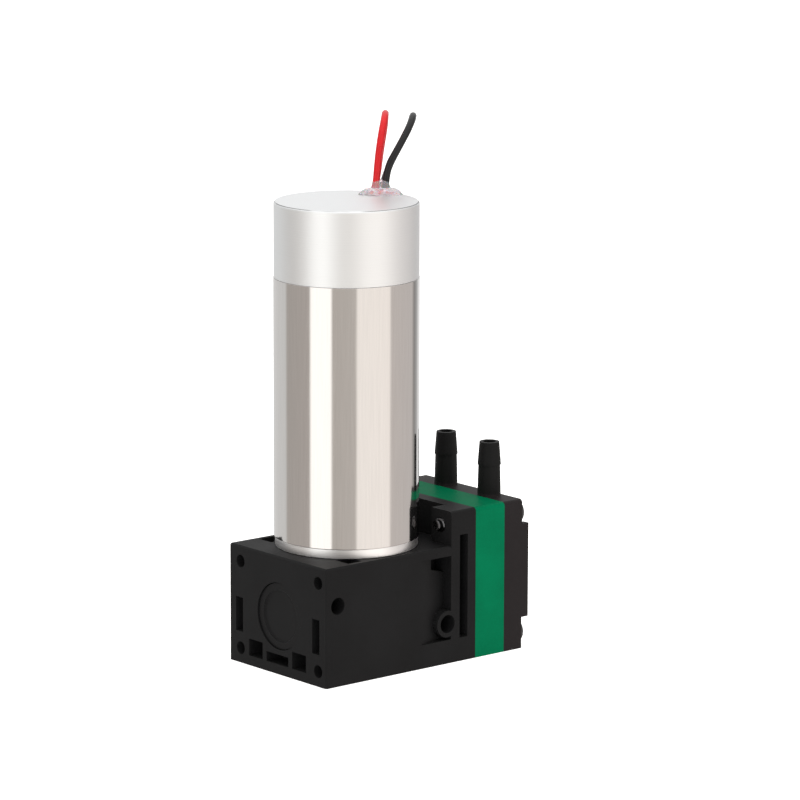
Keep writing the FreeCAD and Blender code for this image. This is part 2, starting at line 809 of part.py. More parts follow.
def make_connecting_rod():
    """Ring round the eccentric's bearing, a tapered shank webbed on both faces, and a head disc."""
    body = add_body("connecting_rod")
    low = HEAD_CENTRE - size("rod_height") / 2
    ring = add_sketch(body, "XY_Plane", low)
    add_circle(ring, CRANK_X, 0, size("rod_ring_radius"))
    add_pad(body, ring, size("rod_height"))
    head_x = PULLED_X - size("rod_head_thickness")
    shank = add_sketch(body, "XY_Plane", low)
    root, neck = size("rod_root_half_width"), size("rod_neck_half_width")
    add_polygon(shank, [(CRANK_X, -root), (head_x, -neck), (head_x, neck), (CRANK_X, root)])
    add_pad(body, shank, size("rod_height"))
    round_top = size("rod_head_radius")
    disc = [(head_x, 0), (head_x, round_top), (PULLED_X, round_top), (PULLED_X, 0)]
    add_turned(body, disc, axis="H_Axis", up=HEAD_CENTRE)
    web_start = CRANK_X + size("rod_ring_radius") + 1
    inset = size("rod_web_depth") / 2
    for web_low in (low, low + size("rod_height") - size("rod_web_depth")):
        web = add_sketch(body, "XY_Plane", web_low)
        near, far = root - inset * 3, neck - inset
        end = head_x - 1
        add_polygon(web, [(web_start, -near), (end, -far), (end, far), (web_start, near)])
        add_pocket(body, web, size("rod_web_depth"))
    seat = add_sketch(body, "XY_Plane", low)
    add_circle(seat, CRANK_X, 0, size("rod_bearing_outer") + size("fit") / 5)
    add_pocket(body, seat, size("rod_height"))
    tip = DISC_X + size("clamp_disc_thickness") - size("clamp_screw_length") - size("screw_gap")
    thread = add_sketch(body, "YZ_Plane", tip)
    add_circle(thread, 0, HEAD_CENTRE, CLAMP_BORE)
    add_pocket(body, thread, size("clamp_screw_length"))
    return body


def make_bearing(label, axis_x, low, width, outer, inner):
    """Two races of a shielded ball bearing: the outer carries the shields."""
    wall, gap, lip = size("race_wall"), size("running_gap"), size("shield_thickness")
    outer_race = add_body(f"{label}_outer")
    high, shield = low + width, inner + wall + gap
    inside = outer - wall
    outline = [(shield, low), (outer, low), (outer, high), (shield, high), (shield, high - lip)]
    outline += [(inside, high - lip), (inside, low + lip), (shield, low + lip)]
    add_turned(outer_race, outline, across=axis_x)
    inner_race = add_body(f"{label}_inner")
    add_turned(
        inner_race,
        [(inner, low), (inner + wall, low), (inner + wall, high), (inner, high)],
        across=axis_x,
    )
    return outer_race, inner_race


def add_segment(sketch, centre_x, radius, chord_x):
    """The part of a disc beyond a straight chord across X."""
    centre = Vector(centre_x.value, 0, 0)
    half = math.sqrt(radius.value**2 - (chord_x.value - centre_x.value) ** 2)
    angle = math.atan2(half, chord_x.value - centre_x.value)
    circle = Part.Circle(centre, Vector(0, 0, 1), radius.value)
    arc = sketch.addGeometry(Part.ArcOfCircle(circle, -angle, angle), False)
    ends = (Vector(chord_x.value, half, 0), Vector(chord_x.value, -half, 0))
    chord = sketch.addGeometry(Part.LineSegment(*ends), False)
    sketch.addConstraint(Sketcher.Constraint("Coincident", arc, 2, chord, 1))
    sketch.addConstraint(Sketcher.Constraint("Coincident", chord, 2, arc, 1))
    sketch.addConstraint(Sketcher.Constraint("Vertical", chord))
    index = sketch.addConstraint(Sketcher.Constraint("Radius", arc, radius.value))
    bind(sketch, f"Constraints[{index}]", radius)
    tie_point(sketch, arc, 3, centre_x, 0)
    index = sketch.addConstraint(Sketcher.Constraint("DistanceX", -1, 1, chord, 1, chord_x.value))
    bind(sketch, f"Constraints[{index}]", chord_x)


def make_eccentric():
    """Turned hub with an offset journal for the rod's bearing and a half-round counterweight."""
    body = add_body("eccentric")
    low = size("hub_low")
    journal_low = HEAD_CENTRE - size("rod_bearing_width") / 2
    hub = add_sketch(body, "XY_Plane", low)
    add_circle(hub, MOTOR_X, 0, size("hub_radius"))
    add_pad(body, hub, journal_low - size("hub_step") - low)
    step = add_sketch(body, "XY_Plane", low)
    add_circle(step, CRANK_X, 0, size("rod_bearing_inner") + size("race_wall") / 2)
    add_pad(body, step, journal_low - low)
    journal = add_sketch(body, "XY_Plane", low)
    add_circle(journal, CRANK_X, 0, size("rod_bearing_inner") - FIT / 5)
    add_pad(body, journal, journal_low - low + size("rod_bearing_width"))
    weight = add_sketch(body, "XY_Plane", low)
    add_segment(weight, MOTOR_X, size("counterweight_radius"), MOTOR_X + size("counterweight_chord"))
    add_pad(body, weight, size("counterweight_height"))
    bore = add_sketch(body, "XY_Plane", low)
    add_circle(bore, MOTOR_X, 0, size("shaft_radius") + FIT / 5)
    add_pocket(body, bore, size("rod_bearing_width") + size("block_height"))
    thread = add_sketch(body, "YZ_Plane", MOTOR_X - size("hub_radius") - 1)
    add_circle(thread, 0, set_screw_height(), size("set_screw_radius") + FIT)
    add_pocket(body, thread, size("hub_radius") + 1)
    return body


def set_screw_height():
    return size("hub_low") + size("counterweight_height") / 2


def make_set_screw():
    body = add_body("eccentric_set_screw")
    start = MOTOR_X - size("hub_radius")
    sketch = add_sketch(body, "YZ_Plane", start)
    add_circle(sketch, 0, set_screw_height(), size("set_screw_radius"))
    add_pad(body, sketch, size("hub_radius") - size("shaft_radius") - FIT)
    socket = add_sketch(body, "YZ_Plane", start)
    half = size("set_screw_radius") / 2
    add_rectangle(socket, -half, half, set_screw_height() - half, set_screw_height() + half)
    add_pocket(body, socket, half * 2)
    return body


# Heights in the motor
LIP_Z = size("block_height")
CAN_Z = LIP_Z + size("lip_height")
BELL_TOP = LIP_Z + size("bell_thickness")
CAP_Z = CAN_Z + size("can_height")
CAP_TOP = CAP_Z + size("cap_height")
CAN_INSIDE = size("motor_radius") - size("can_wall")
BEARING_SEAT = size("motor_bearing_outer") + FIT / 5
SHAFT_HOLE = size("shaft_radius") + size("race_wall") + size("running_gap") * 4
END_FRAME_TOP = CAP_Z - size("spigot_height")
END_FRAME_Z = END_FRAME_TOP - size("end_frame_thickness")
WASHER_TOP = END_FRAME_Z + size("end_frame_thickness") / 2
REAR_BEARING_TOP = WASHER_TOP - size("washer_thickness")
REAR_BEARING_Z = REAR_BEARING_TOP - size("motor_bearing_width")
FRONT_BEARING_Z = BELL_TOP - size("motor_bearing_width") - size("screw_gap")


def make_motor_bell():
    """Die-cast front of the motor: locating boss, bright lip, bearing seat and screw holes."""
    body = add_body("motor_bell")
    boss_low = LIP_Z - size("locating_boss_height")
    boss, lip, inside = size("locating_boss_radius"), size("lip_radius"), CAN_INSIDE - FIT
    outline = [(SHAFT_HOLE, boss_low), (boss, boss_low), (boss, LIP_Z), (lip, LIP_Z), (lip, CAN_Z)]
    outline += [(inside, CAN_Z), (inside, BELL_TOP), (BEARING_SEAT, BELL_TOP)]
    outline += [(BEARING_SEAT, FRONT_BEARING_Z), (SHAFT_HOLE, FRONT_BEARING_Z)]
    add_turned(body, outline, across=MOTOR_X)
    threads = add_sketch(body, "XY_Plane", LIP_Z)
    for side in (-1, 1):
        spot = size("motor_screw_spread") * side
        add_circle(threads, MOTOR_X, spot, size("motor_screw_radius") + FIT)
    add_pocket(body, threads, size("motor_screw_grip") + size("screw_gap") * 4)
    return body


def make_motor_can():
    body = add_body("motor_can")
    outer, step = size("motor_radius"), size("edge_break") / 2
    outline = [(CAN_INSIDE, CAN_Z), (outer - step, CAN_Z), (outer, CAN_Z + step)]
    outline += [(outer, CAP_Z - step), (outer - step, CAP_Z), (CAN_INSIDE, CAP_Z)]
    add_turned(body, outline, across=MOTOR_X)
    return body


def make_motor_cap():
    """Turned aluminium cap over the driver board, with a spigot into the can."""
    body = add_body("motor_cap")
    outer, step = size("cap_radius"), size("edge_break")
    spigot, inside = CAN_INSIDE - FIT, size("cap_radius") - size("cap_wall")
    bottom, roof = END_FRAME_TOP, CAP_TOP - size("cap_roof")
    outline = [(spigot - step * 3, bottom), (spigot, bottom), (spigot, CAP_Z), (outer, CAP_Z)]
    outline += [(outer, CAP_TOP - step), (outer - step, CAP_TOP), (0, CAP_TOP), (0, roof)]
    outline += [(inside, roof), (inside, CAP_Z + step * 2), (spigot - step * 3, CAP_Z)]
    add_turned(body, outline, across=MOTOR_X)
    outlet = add_sketch(body, "XY_Plane", roof - size("cut_margin"))
    add_circle(outlet, size("outlet_x"), size("outlet_y"), size("outlet_radius"))
    add_pocket(body, outlet, size("cap_roof") + size("cut_margin") * 2)
    return body


def make_end_frame():
    """Moulded carrier of the rear bearing, with three posts for the driver board."""
    body = add_body("end_frame")
    rim, wall = CAN_INSIDE - FIT, size("cap_wall")
    skirt = REAR_BEARING_Z
    outline = [(SHAFT_HOLE, END_FRAME_TOP), (rim, END_FRAME_TOP), (rim, END_FRAME_Z)]
    outline += [(BEARING_SEAT + wall, END_FRAME_Z), (BEARING_SEAT + wall, skirt), (BEARING_SEAT, skirt)]
    outline += [(BEARING_SEAT, WASHER_TOP), (SHAFT_HOLE, WASHER_TOP)]
    add_turned(body, outline, across=MOTOR_X)
    posts = add_sketch(body, "XY_Plane", END_FRAME_TOP)
    for index in range(3):
        turn = math.radians(90 + 120 * index)
        spread = size("post_spread")
        add_circle(posts, MOTOR_X + spread * math.cos(turn), spread * math.sin(turn), size("post_radius"))
    add_pad(body, posts, size("post_height"))
    return body


def make_driver_board():
    body = add_body("driver_board")
    board = add_sketch(body, "XY_Plane", END_FRAME_TOP + size("post_height"))
    add_circle(board, MOTOR_X, 0, size("board_radius"))
    add_pad(body, board, size("board_thickness"))
    return body


def make_turned_part(label, outline):
    body = add_body(label)
    add_turned(body, outline, across=MOTOR_X)
    return body


def make_stator_core():
    """Laminated ring with wound teeth and their shoes round the rotor."""
    body = add_body("stator_core")
    low = size("stack_low")
    outer, yoke = CAN_INSIDE - FIT, size("stator_yoke")
    ring = add_sketch(body, "XY_Plane", low)
    add_circle(ring, MOTOR_X, 0, outer)
    add_circle(ring, MOTOR_X, 0, outer - yoke)
    add_pad(body, ring, size("stack_height"))
    tooth = add_sketch(body, "XY_Plane", low, MOTOR_X)
    bore, half, shoe = size("stator_bore_radius"), size("tooth_width") / 2, size("tooth_shoe")
    wide = half * 2
    add_polygon(
        tooth,
        [
            (bore - 0.5, -wide),
            (bore + shoe, -wide),
            (bore + shoe, -half),
            (outer - yoke / 2, -half),
            (outer - yoke / 2, half),
            (bore + shoe, half),
            (bore + shoe, wide),
            (bore - 0.5, wide),
        ],
    )
    tooth_pad = add_pad(body, tooth, size("stack_height"))
    centre = add_sketch(body, "XY_Plane", low, MOTOR_X)
    pattern = body.newObject("PartDesign::PolarPattern", "stator_teeth")
    pattern.Originals = [tooth_pad]
    pattern.Axis = (centre, ["N_Axis"])
    pattern.Angle = 360
    bind(pattern, "Occurrences", size("tooth_count"))
    body.Tip = pattern
    opening = add_sketch(body, "XY_Plane", low)
    add_circle(opening, MOTOR_X, 0, bore)
    add_pocket(body, opening, size("stack_height"))
    return body


def add_shapes(label, shapes):
    """Several alike solids, or one built by hand, as a single object."""
    item = doc.addObject("Part::Feature", label)
    item.Label = label
    item.Shape = shapes[0] if len(shapes) == 1 else Part.makeCompound(shapes)
    return item


def turned_solid(points, base, direction):
    """Turn an outline of (radius, height) pairs about a line through the base point."""
    wire = Part.makePolygon([Vector(r, 0, z) for r, z in points + points[:1]])
    solid = Part.Face(wire).revolve(Vector(0, 0, 0), Vector(0, 0, 1), 360)
    solid.Placement = Placement(base, Rotation(Vector(0, 0, 1), direction))
    return solid


def pan_screw(base, direction, radius, length):
    """Pan-head screw with a cross recess: the base point is under its head."""
    head, tall = size("screw_head_radius").value, size("screw_head_height").value
    shoulder = tall * 0.55
    points = [(0, -length), (radius * 0.55, -length), (radius, -length + radius), (radius, 0), (head, 0)]
    points += [(head, shoulder), (head * 0.88, tall * 0.85), (head * 0.6, tall), (0, tall)]
    solid = turned_solid(points, Vector(0, 0, 0), Vector(0, 0, 1))
    arm, thin = head * 0.5, radius * 0.25
    slots = [
        Part.makeBox(2 * wide, 2 * deep, tall, Vector(-wide, -deep, tall * 0.4))
        for wide, deep in ((arm, thin), (thin, arm))
    ]
    solid = solid.cut(slots[0].fuse(slots[1]).removeSplitter())
    solid.Placement = Placement(base, Rotation(Vector(0, 0, 1), direction))
    return solid


def make_head_screws():
    face = COVER_FACE_X.value
    radius, length = size("screw_radius").value, size("screw_length").value
    shapes = [
        pan_screw(Vector(face, across.value, up.value), Vector(1, 0, 0), radius, length)
        for across, up in screw_places()
    ]
    return add_shapes("head_screws", shapes)


def make_motor_screws():
    """Two long screws from the underside, up through the block into the motor's bell."""
    seat = size("screw_head_height").value + size("screw_gap").value * 2
    radius = size("motor_screw_radius").value
    length = LIP_Z.value + size("motor_screw_grip").value - seat
    spread = size("motor_screw_spread").value
    shapes = [
        pan_screw(Vector(MOTOR_X.value, spread * side, seat), Vector(0, 0, -1), radius, length)
        for side in (-1, 1)
    ]
    return add_shapes("motor_screws", shapes)


def about_motor(count):
    """Evenly spaced turns about the motor's axis."""
    centre = Vector(MOTOR_X.value, 0, 0)
    step = 360.0 / count
    return [Placement(centre, Rotation(Vector(0, 0, 1), step * index)) for index in range(count)]


def make_windings():
    """One coil round each tooth, standing proud of the stack at both ends."""
    thick = size("coil_thickness").value
    half = size("tooth_width").value / 2 + size("screw_gap").value
    low = size("stack_low").value - size("screw_gap").value
    tall = size("stack_height").value + 2 * size("screw_gap").value
    start = size("stator_bore_radius").value + size("tooth_shoe").value + size("screw_gap").value
    end = CAN_INSIDE.value - size("stator_yoke").value - thick / 2
    wide = half + thick
    corner = Vector(start, -wide, low - thick)
    outer = Part.makeBox(end - start, 2 * wide, tall + 2 * thick, corner)
    inner = Part.makeBox(end - start, 2 * half, tall, Vector(start, -half, low))
    upright = [edge for edge in outer.Edges if abs(edge.tangentAt(edge.FirstParameter).x) > 0.99]
    coil = outer.makeFillet(thick * 0.8, upright).cut(inner)
    shapes = []
    for place in about_motor(int(size("tooth_count").value)):
        copy = coil.copy()
        copy.Placement = place
        shapes.append(copy)
    return add_shapes("stator_windings", shapes)


def make_rod_balls():
    """Balls between the two races of the rod's bearing."""
    spread = (size("rod_bearing_outer").value + size("rod_bearing_inner").value) / 2
    count = int(size("ball_count").value)
    shapes = []
    for index in range(count):
        turn = 2 * math.pi * index / count
        place = Vector(CRANK_X.value + spread * math.cos(turn), spread * math.sin(turn), HEAD_CENTRE.value)
        shapes.append(Part.makeSphere(size("ball_radius").value, place))
    return add_shapes("rod_bearing_balls", shapes)


def make_driver_parts():
    """Capacitor, two switching chips and the controller on the driver board."""
    floor = END_FRAME_TOP.value + size("post_height").value + size("board_thickness").value
    centre = Vector(MOTOR_X.value, 0, floor)
    can_place = centre + Vector(size("capacitor_x").value, size("capacitor_y").value, 0)
    side = size("controller_side").value
    corner = centre - Vector(side / 2, side / 2, 0)
    wide, long = size("switch_width").value, size("switch_length").value
    shapes = [
        Part.makeCylinder(size("capacitor_radius").value, size("capacitor_height").value, can_place),
        Part.makeBox(side, side, size("controller_height").value, corner),
    ]
    for direction in (-1, 1):
        middle = size("switch_spread").value * direction
        place = centre + Vector(middle - wide / 2, size("switch_y").value, 0)
        shapes.append(Part.makeBox(wide, long, size("switch_height").value, place))
    return add_shapes("driver_components", shapes)


def make_potting():
    """Sealing compound in the cap's outlet, spread in an oval over the roof."""
    centre = Vector(size("outlet_x").value, size("outlet_y").value, 0)
    long, short = size("potting_length").value / 2, size("potting_width").value / 2
    top = CAP_TOP.value
    oval = Part.Ellipse(Vector(0, 0, 0), long, short).toShape()
    pad = Part.Face(Part.Wire(oval)).extrude(Vector(0, 0, size("potting_height").value))
    turn = Rotation(Vector(0, 0, 1), size("potting_turn").value)
    pad.Placement = Placement(centre + Vector(0, 0, top), turn)
    radius = size("outlet_radius").value - size("fit").value
    roof = size("cap_roof").value
    plug = Part.makeCylinder(radius, roof + 0.5, centre + Vector(0, 0, top - roof))
    return add_shapes("lead_potting", [pad.fuse(plug).removeSplitter()])


def lead_path(route):
    """Straight runs joined by arcs that touch both of their runs."""
    edges = []
    start = route[0]
    radii = []
    for before, corner, after in zip(route, route[1:], route[2:]):
        back, ahead = before - corner, after - corner
        turn = math.pi - back.getAngle(ahead)
        reach = 0.45 * min(back.Length, ahead.Length)
        radii.append(reach / math.tan(turn / 2))
        back.normalize()
        ahead.normalize()
        first, last = corner + back * reach, corner + ahead * reach
        rise = (back + ahead).normalize()
        centre_gap = radii[-1] / math.cos(turn / 2)
        middle = corner + rise * (centre_gap - radii[-1])
        edges.append(Part.LineSegment(start, first).toShape())
        edges.append(Part.Arc(first, middle, last).toShape())
        start = last
    edges.append(Part.LineSegment(start, route[-1]).toShape())
    return Part.Wire(edges), radii


def make_lead(label, route):
    """A lead as a round tube along its route."""
    radius = size("lead_radius").value
    path, radii = lead_path(route)
    section = Part.Wire(Part.Circle(route[0], route[1] - route[0], radius).toShape())
    tube = path.makePipeShell([section], True, False)
    expected = math.pi * radius**2 * path.Length
    smallest = min(radii)
    print(f"{label}: length {path.Length:.1f}, volume ratio {tube.Volume / expected:.4f}")
    print(f"{label}: radii {[round(r, 1) for r in radii]}, smallest {smallest / (2 * radius):.1f} diameters")
    return add_shapes(label, [tube])


def make_lead_tips():
    """Stripped and tinned ends, in line with the leads' last runs."""
    shapes = []
    for route in (RED_ROUTE, BLACK_ROUTE):
        along = (route[-1] - route[-2]).normalize()
        shapes.append(
            Part.makeCylinder(size("tinned_radius").value, size("tinned_length").value, route[-1], along)
        )
    return add_shapes("lead_tips", shapes)


def make_lead_tail(label, route):
    """The lead's run inside the cap, from the potting down to the driver board."""
    floor = END_FRAME_TOP.value + size("post_height").value + size("board_thickness").value
    roof = CAP_TOP.value - size("cap_roof").value
    base = Vector(route[0].x + HEAD_FACE_X.value / 2, route[0].y, floor)
    tail = Part.makeCylinder(size("lead_radius").value, roof - floor, base)
    return add_shapes(label, [tail])


def make_motor_shaft():
    shaft, low = size("shaft_radius"), size("hub_low")
    top = WASHER_TOP + size("shaft_overhang")
    step = size("edge_break") / 2
    outline = [(0, low), (shaft - step, low), (shaft, low + step), (shaft, top - step)]
    outline += [(shaft - step, top), (0, top)]
    return make_turned_part("motor_shaft", outline)


def make_rotor():
    """Ring magnet on its steel core."""
    low = size("stack_low") - size("magnet_overhang")
    high = size("stack_low") + size("stack_height") + size("magnet_overhang")
    outer, inner = size("magnet_radius"), size("magnet_radius") - size("magnet_wall")
    bore = size("shaft_radius") + FIT / 5
    make_turned_part("rotor_magnet", [(inner, low), (outer, low), (outer, high), (inner, high)])
    step = inner - FIT / 5
    make_turned_part("rotor_core", [(bore, low), (step, low), (step, high), (bore, high)])


def make_preload_washer():
    inner, outer = SHAFT_HOLE + size("edge_break") / 2, size("motor_bearing_outer")
    outline = [(inner, REAR_BEARING_TOP), (outer, REAR_BEARING_TOP)]
    outline += [(outer, WASHER_TOP), (inner, WASHER_TOP)]
    return make_turned_part("preload_washer", outline)


def make_valve_disc(label, across, rest):
    """Loose rubber disc over one of the two ports."""
    body = add_body(label)
    disc = add_sketch(body, "YZ_Plane", rest)
    add_circle(disc, across, HEAD_CENTRE, size("valve_radius"))
    add_pad(body, disc, size("valve_thickness"))
    return body


make_crankcase()
make_access_plug()
make_chamber_plate()
make_head_cover()
make_head_gasket()
make_diaphragm()
make_clamp_disc()
make_clamp_screw()
make_connecting_rod()
rod_bearing_low = HEAD_CENTRE - size("rod_bearing_width") / 2
rod_bearing = (CRANK_X, rod_bearing_low, size("rod_bearing_width"))
make_bearing("rod_bearing", *rod_bearing, size("rod_bearing_outer"), size("rod_bearing_inner"))
make_rod_balls()
make_eccentric()
make_set_screw()
make_motor_shaft()
make_motor_bell()
make_motor_can()
make_motor_cap()
make_end_frame()
for bearing_name, bearing_z in (("front_bearing", FRONT_BEARING_Z), ("rear_bearing", REAR_BEARING_Z)):
    place = (MOTOR_X, bearing_z, size("motor_bearing_width"))
    make_bearing(bearing_name, *place, size("motor_bearing_outer"), size("shaft_radius") + FIT / 5)
make_preload_washer()
make_stator_core()
make_windings()
make_rotor()
make_driver_board()
make_driver_parts()
make_potting()
make_head_screws()
make_motor_screws()
make_valve_disc("inlet_valve_disc", size("valve_spread"), COVER_X - size("valve_thickness") - FIT)
make_valve_disc("outlet_valve_disc", -size("valve_spread"), COVER_X + FIT)
make_lead_tail("lead_red_tail", RED_ROUTE)
make_lead_tail("lead_black_tail", BLACK_ROUTE)
doc.recompute()

# The part's own frame: origin under the middle of the pump
pieces = [item for item in doc.Objects if item.TypeId in ("PartDesign::Body", "Part::Feature")]
for item in pieces:
    bind(item, "Placement.Base.x", -(HEAD_FACE_X / 2))
pieces.append(make_lead("lead_red", RED_ROUTE))
pieces.append(make_lead("lead_black", BLACK_ROUTE))
pieces.append(make_lead_tips())
doc.recompute()

for item in doc.Objects:
    for word in ("Invalid", "Error"):
        if word in item.State:
            raise RuntimeError(f"{item.Label} is {word}")
os.makedirs("parts", exist_ok=True)
for item in pieces:
    if item.Shape.isNull() or not item.Shape.isValid():
        raise RuntimeError(f"{item.Label} has no valid shape")
    if item.TypeId == "PartDesign::Body" and len(item.Shape.Solids) != 1:
        raise RuntimeError(f"{item.Label} has {len(item.Shape.Solids)} solids")
    item.Shape.exportStep(f"parts/{item.Label}.step")
    box = item.Shape.BoundBox
    print(f"{item.Label}: volume {item.Shape.Volume:.1f}, z {box.ZMin:.1f} to {box.ZMax:.1f}")
print(f"{len(pieces)} pieces")
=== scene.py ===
"""Looks of a small diaphragm vacuum pump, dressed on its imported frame."""

import json
import math

import bpy
from mathutils import Matrix, Quaternion, Vector


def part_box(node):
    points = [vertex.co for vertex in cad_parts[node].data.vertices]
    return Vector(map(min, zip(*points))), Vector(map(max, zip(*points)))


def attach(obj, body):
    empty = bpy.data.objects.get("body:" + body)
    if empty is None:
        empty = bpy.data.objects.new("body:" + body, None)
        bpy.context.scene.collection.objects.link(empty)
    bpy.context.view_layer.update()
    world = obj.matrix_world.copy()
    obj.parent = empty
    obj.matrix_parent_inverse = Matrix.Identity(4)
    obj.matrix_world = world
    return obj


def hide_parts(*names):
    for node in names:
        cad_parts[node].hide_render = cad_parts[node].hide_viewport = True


MM = 0.001

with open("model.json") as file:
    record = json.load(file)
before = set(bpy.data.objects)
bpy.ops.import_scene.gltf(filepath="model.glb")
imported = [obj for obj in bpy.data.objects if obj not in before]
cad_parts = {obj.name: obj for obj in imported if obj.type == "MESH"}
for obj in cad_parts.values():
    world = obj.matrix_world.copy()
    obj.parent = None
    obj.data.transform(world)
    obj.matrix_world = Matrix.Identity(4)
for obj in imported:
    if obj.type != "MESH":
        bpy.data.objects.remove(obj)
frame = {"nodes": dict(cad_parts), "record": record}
bpy.ops.object.select_all(action="DESELECT")
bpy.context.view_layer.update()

# Driving sizes, read from the frame in metres
CAN_LOW, CAN_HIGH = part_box("motor_can")
CAP_LOW, CAP_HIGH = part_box("motor_cap")
MOTOR_AXIS = Vector(((CAN_LOW.x + CAN_HIGH.x) / 2, 0.0, 0.0))
CAN_RADIUS = (CAN_HIGH.x - CAN_LOW.x) / 2
CAP_RADIUS = (CAP_HIGH.x - CAP_LOW.x) / 2
COVER_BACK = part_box("head_cover")[0].x

# Sizes that the nodes' boxes don't give
CAN_WALL = 0.8 * MM
CAP_CHAMFER = 0.4 * MM
SEAM = 0.05 * MM
COVER_THICKNESS = 5.9 * MM
BARB_FOOT = 38.6 * MM


# Camera, at the photograph's place and lens

CAMERA_PLACE = Vector((-681.5, -814.6, 275.5)) * MM
CAMERA_AIM = Vector((6.3, 0.0, 63.8)) * MM
CAMERA_ROLL = math.radians(0.17)
CAMERA_LENS = 196.5


def add_camera():
    bpy.ops.object.camera_add(location=CAMERA_PLACE)
    camera = bpy.context.active_object
    camera.name = "view_camera"
    aim = (CAMERA_AIM - CAMERA_PLACE).to_track_quat("-Z", "Y")
    camera.rotation_mode = "QUATERNION"
    camera.rotation_quaternion = aim @ Quaternion((0, 0, 1), CAMERA_ROLL)
    camera.data.lens = CAMERA_LENS
    camera.data.sensor_width = 36.0
    camera.data.clip_start = 0.01
    camera.data.clip_end = 20.0
    bpy.context.scene.camera = camera
    camera.select_set(False)


add_camera()


# Leads: the solids' routes in millimetres, with the black arch drawn to the photograph's line

LEAD_DIAMETER = 1.8 * MM
RED_ROUTE = [
    (1.1, 3.3, 117.1),
    (1.6, 3.3, 123.0),
    (3.0, 3.7, 129.5),
    (6.3, 6.1, 134.2),
    (10.6, 11.0, 134.6),
    (13.6, 15.0, 130.2),
    (14.4, 17.6, 123.5),
    (14.4, 18.9, 116.0),
    (12.5, 21.0, 104.0),
    (10.5, 22.5, 90.0),
    (9.0, 23.3, 74.0),
    (8.2, 23.6, 58.0),
    (7.8, 24.0, 42.0),
    (8.0, 24.6, 28.0),
    (9.0, 25.8, 14.0),
    (12.0, 27.5, 4.5),
    (19.0, 29.5, 1.0),
    (27.0, 32.3, 1.0),
    (33.6, 38.0, 1.0),
    (34.2, 46.2, 1.0),
    (28.0, 51.8, 1.0),
    (19.0, 51.4, 1.0),
    (11.0, 48.0, 1.0),
    (3.0, 45.6, 1.0),
    (-5.0, 45.2, 1.0),
]
BLACK_ROUTE = [
    (2.9, 1.8, 117.1),
    (3.2, 1.9, 121.8),
    (6.2, 0.7, 127.1),
    (10.7, 1.7, 131.9),
    (15.3, 5.7, 134.4),
    (18.9, 10.7, 131.3),
    (19.4, 15.3, 125.6),
    (17.8, 19.3, 118.2),
    (15.6, 22.5, 103.0),
    (12.8, 25.2, 84.0),
    (11.2, 26.6, 60.0),
    (10.8, 27.2, 36.0),
    (11.8, 28.3, 18.0),
    (15.0, 30.5, 6.5),
    (20.5, 33.6, 1.0),
    (26.2, 35.6, 1.0),
    (29.4, 40.1, 1.0),
    (28.4, 45.6, 1.0),
    (23.2, 48.6, 1.0),
    (15.0, 45.6, 1.0),
    (7.6, 41.8, 1.0),
    (0.4, 39.8, 1.0),
]


def add_lead(name, route):
    """A lead as one smooth curve along its route, its points' radius being half its thickness."""
    curve = bpy.data.curves.new(name, "CURVE")
    curve.dimensions = "3D"
    spline = curve.splines.new("NURBS")
    spline.points.add(len(route) - 1)
    for point, place in zip(spline.points, route):
        point.co = (*(Vector(place) * MM), 1.0)
        point.radius = LEAD_DIAMETER / 2
    spline.order_u = 3
    spline.use_endpoint_u = True
    curve.resolution_u = 10
    curve.bevel_depth = 1.0
    curve.bevel_resolution = 5
    curve.use_fill_caps = True
    lead = bpy.data.objects.new(name, curve)
    bpy.context.scene.collection.objects.link(lead)
    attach(lead, "pump_body")
    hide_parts(name.removesuffix("_insulation"))
    return lead


red_lead = add_lead("lead_red_insulation", RED_ROUTE)
black_lead = add_lead("lead_black_insulation", BLACK_ROUTE)


# Shader groups: effects that several finishes share

def new_group(name, inputs, outputs):
    """A shader node group with inputs (name, value) and outputs (name), all of them numbers."""
    group = bpy.data.node_groups.new(name, "ShaderNodeTree")
    for label, value in inputs:
        socket = group.interface.new_socket(label, in_out="INPUT", socket_type="NodeSocketFloat")
        socket.default_value = value
    for label in outputs:
        group.interface.new_socket(label, in_out="OUTPUT", socket_type="NodeSocketFloat")
    group.nodes.new("NodeGroupInput")
    group.nodes.new("NodeGroupOutput")
    return group


def add_node(tree, kind, values=None, **settings):
    """A node of the given kind, with its settings, and its sockets' numbers or colours by name."""
    node = tree.nodes.new(kind)
    for key, value in settings.items():
        setattr(node, key, value)
    for label, value in (values or {}).items():
        node.inputs[label].default_value = value
    return node


def wire(tree, source, target):
    tree.links.new(source, target)


def maths(tree, operation, first, second=None):
    """A Math node fed by sockets or numbers."""
    node = add_node(tree, "ShaderNodeMath", operation=operation)
    for index, value in enumerate((first, second)):
        if value is None:
            continue
        if isinstance(value, (int, float)):
            node.inputs[index].default_value = value
        else:
            wire(tree, value, node.inputs[index])
    return node.outputs[0]


def split(tree, vector):
    """The X, Y and Z of a vector, as sockets."""
    parts = add_node(tree, "ShaderNodeSeparateXYZ")
    wire(tree, vector, parts.inputs[0])
    return parts.outputs


def object_place(tree):
    """Where a point lies on its piece."""
    return add_node(tree, "ShaderNodeTexCoord").outputs["Object"]


def from_axis(tree):
    """Where a point lies from the motor's axis, as X, Y and Z sockets."""
    centred = add_node(tree, "ShaderNodeVectorMath", operation="SUBTRACT")
    centred.inputs[1].default_value = MOTOR_AXIS
    wire(tree, object_place(tree), centred.inputs[0])
    return split(tree, centred.outputs[0])


def axis_radius(tree, parts):
    """Distance from the motor's axis, out of the X and Y that from_axis gives."""
    across = maths(tree, "MULTIPLY", parts["X"], parts["X"])
    along = maths(tree, "MULTIPLY", parts["Y"], parts["Y"])
    return maths(tree, "SQRT", maths(tree, "ADD", across, along))


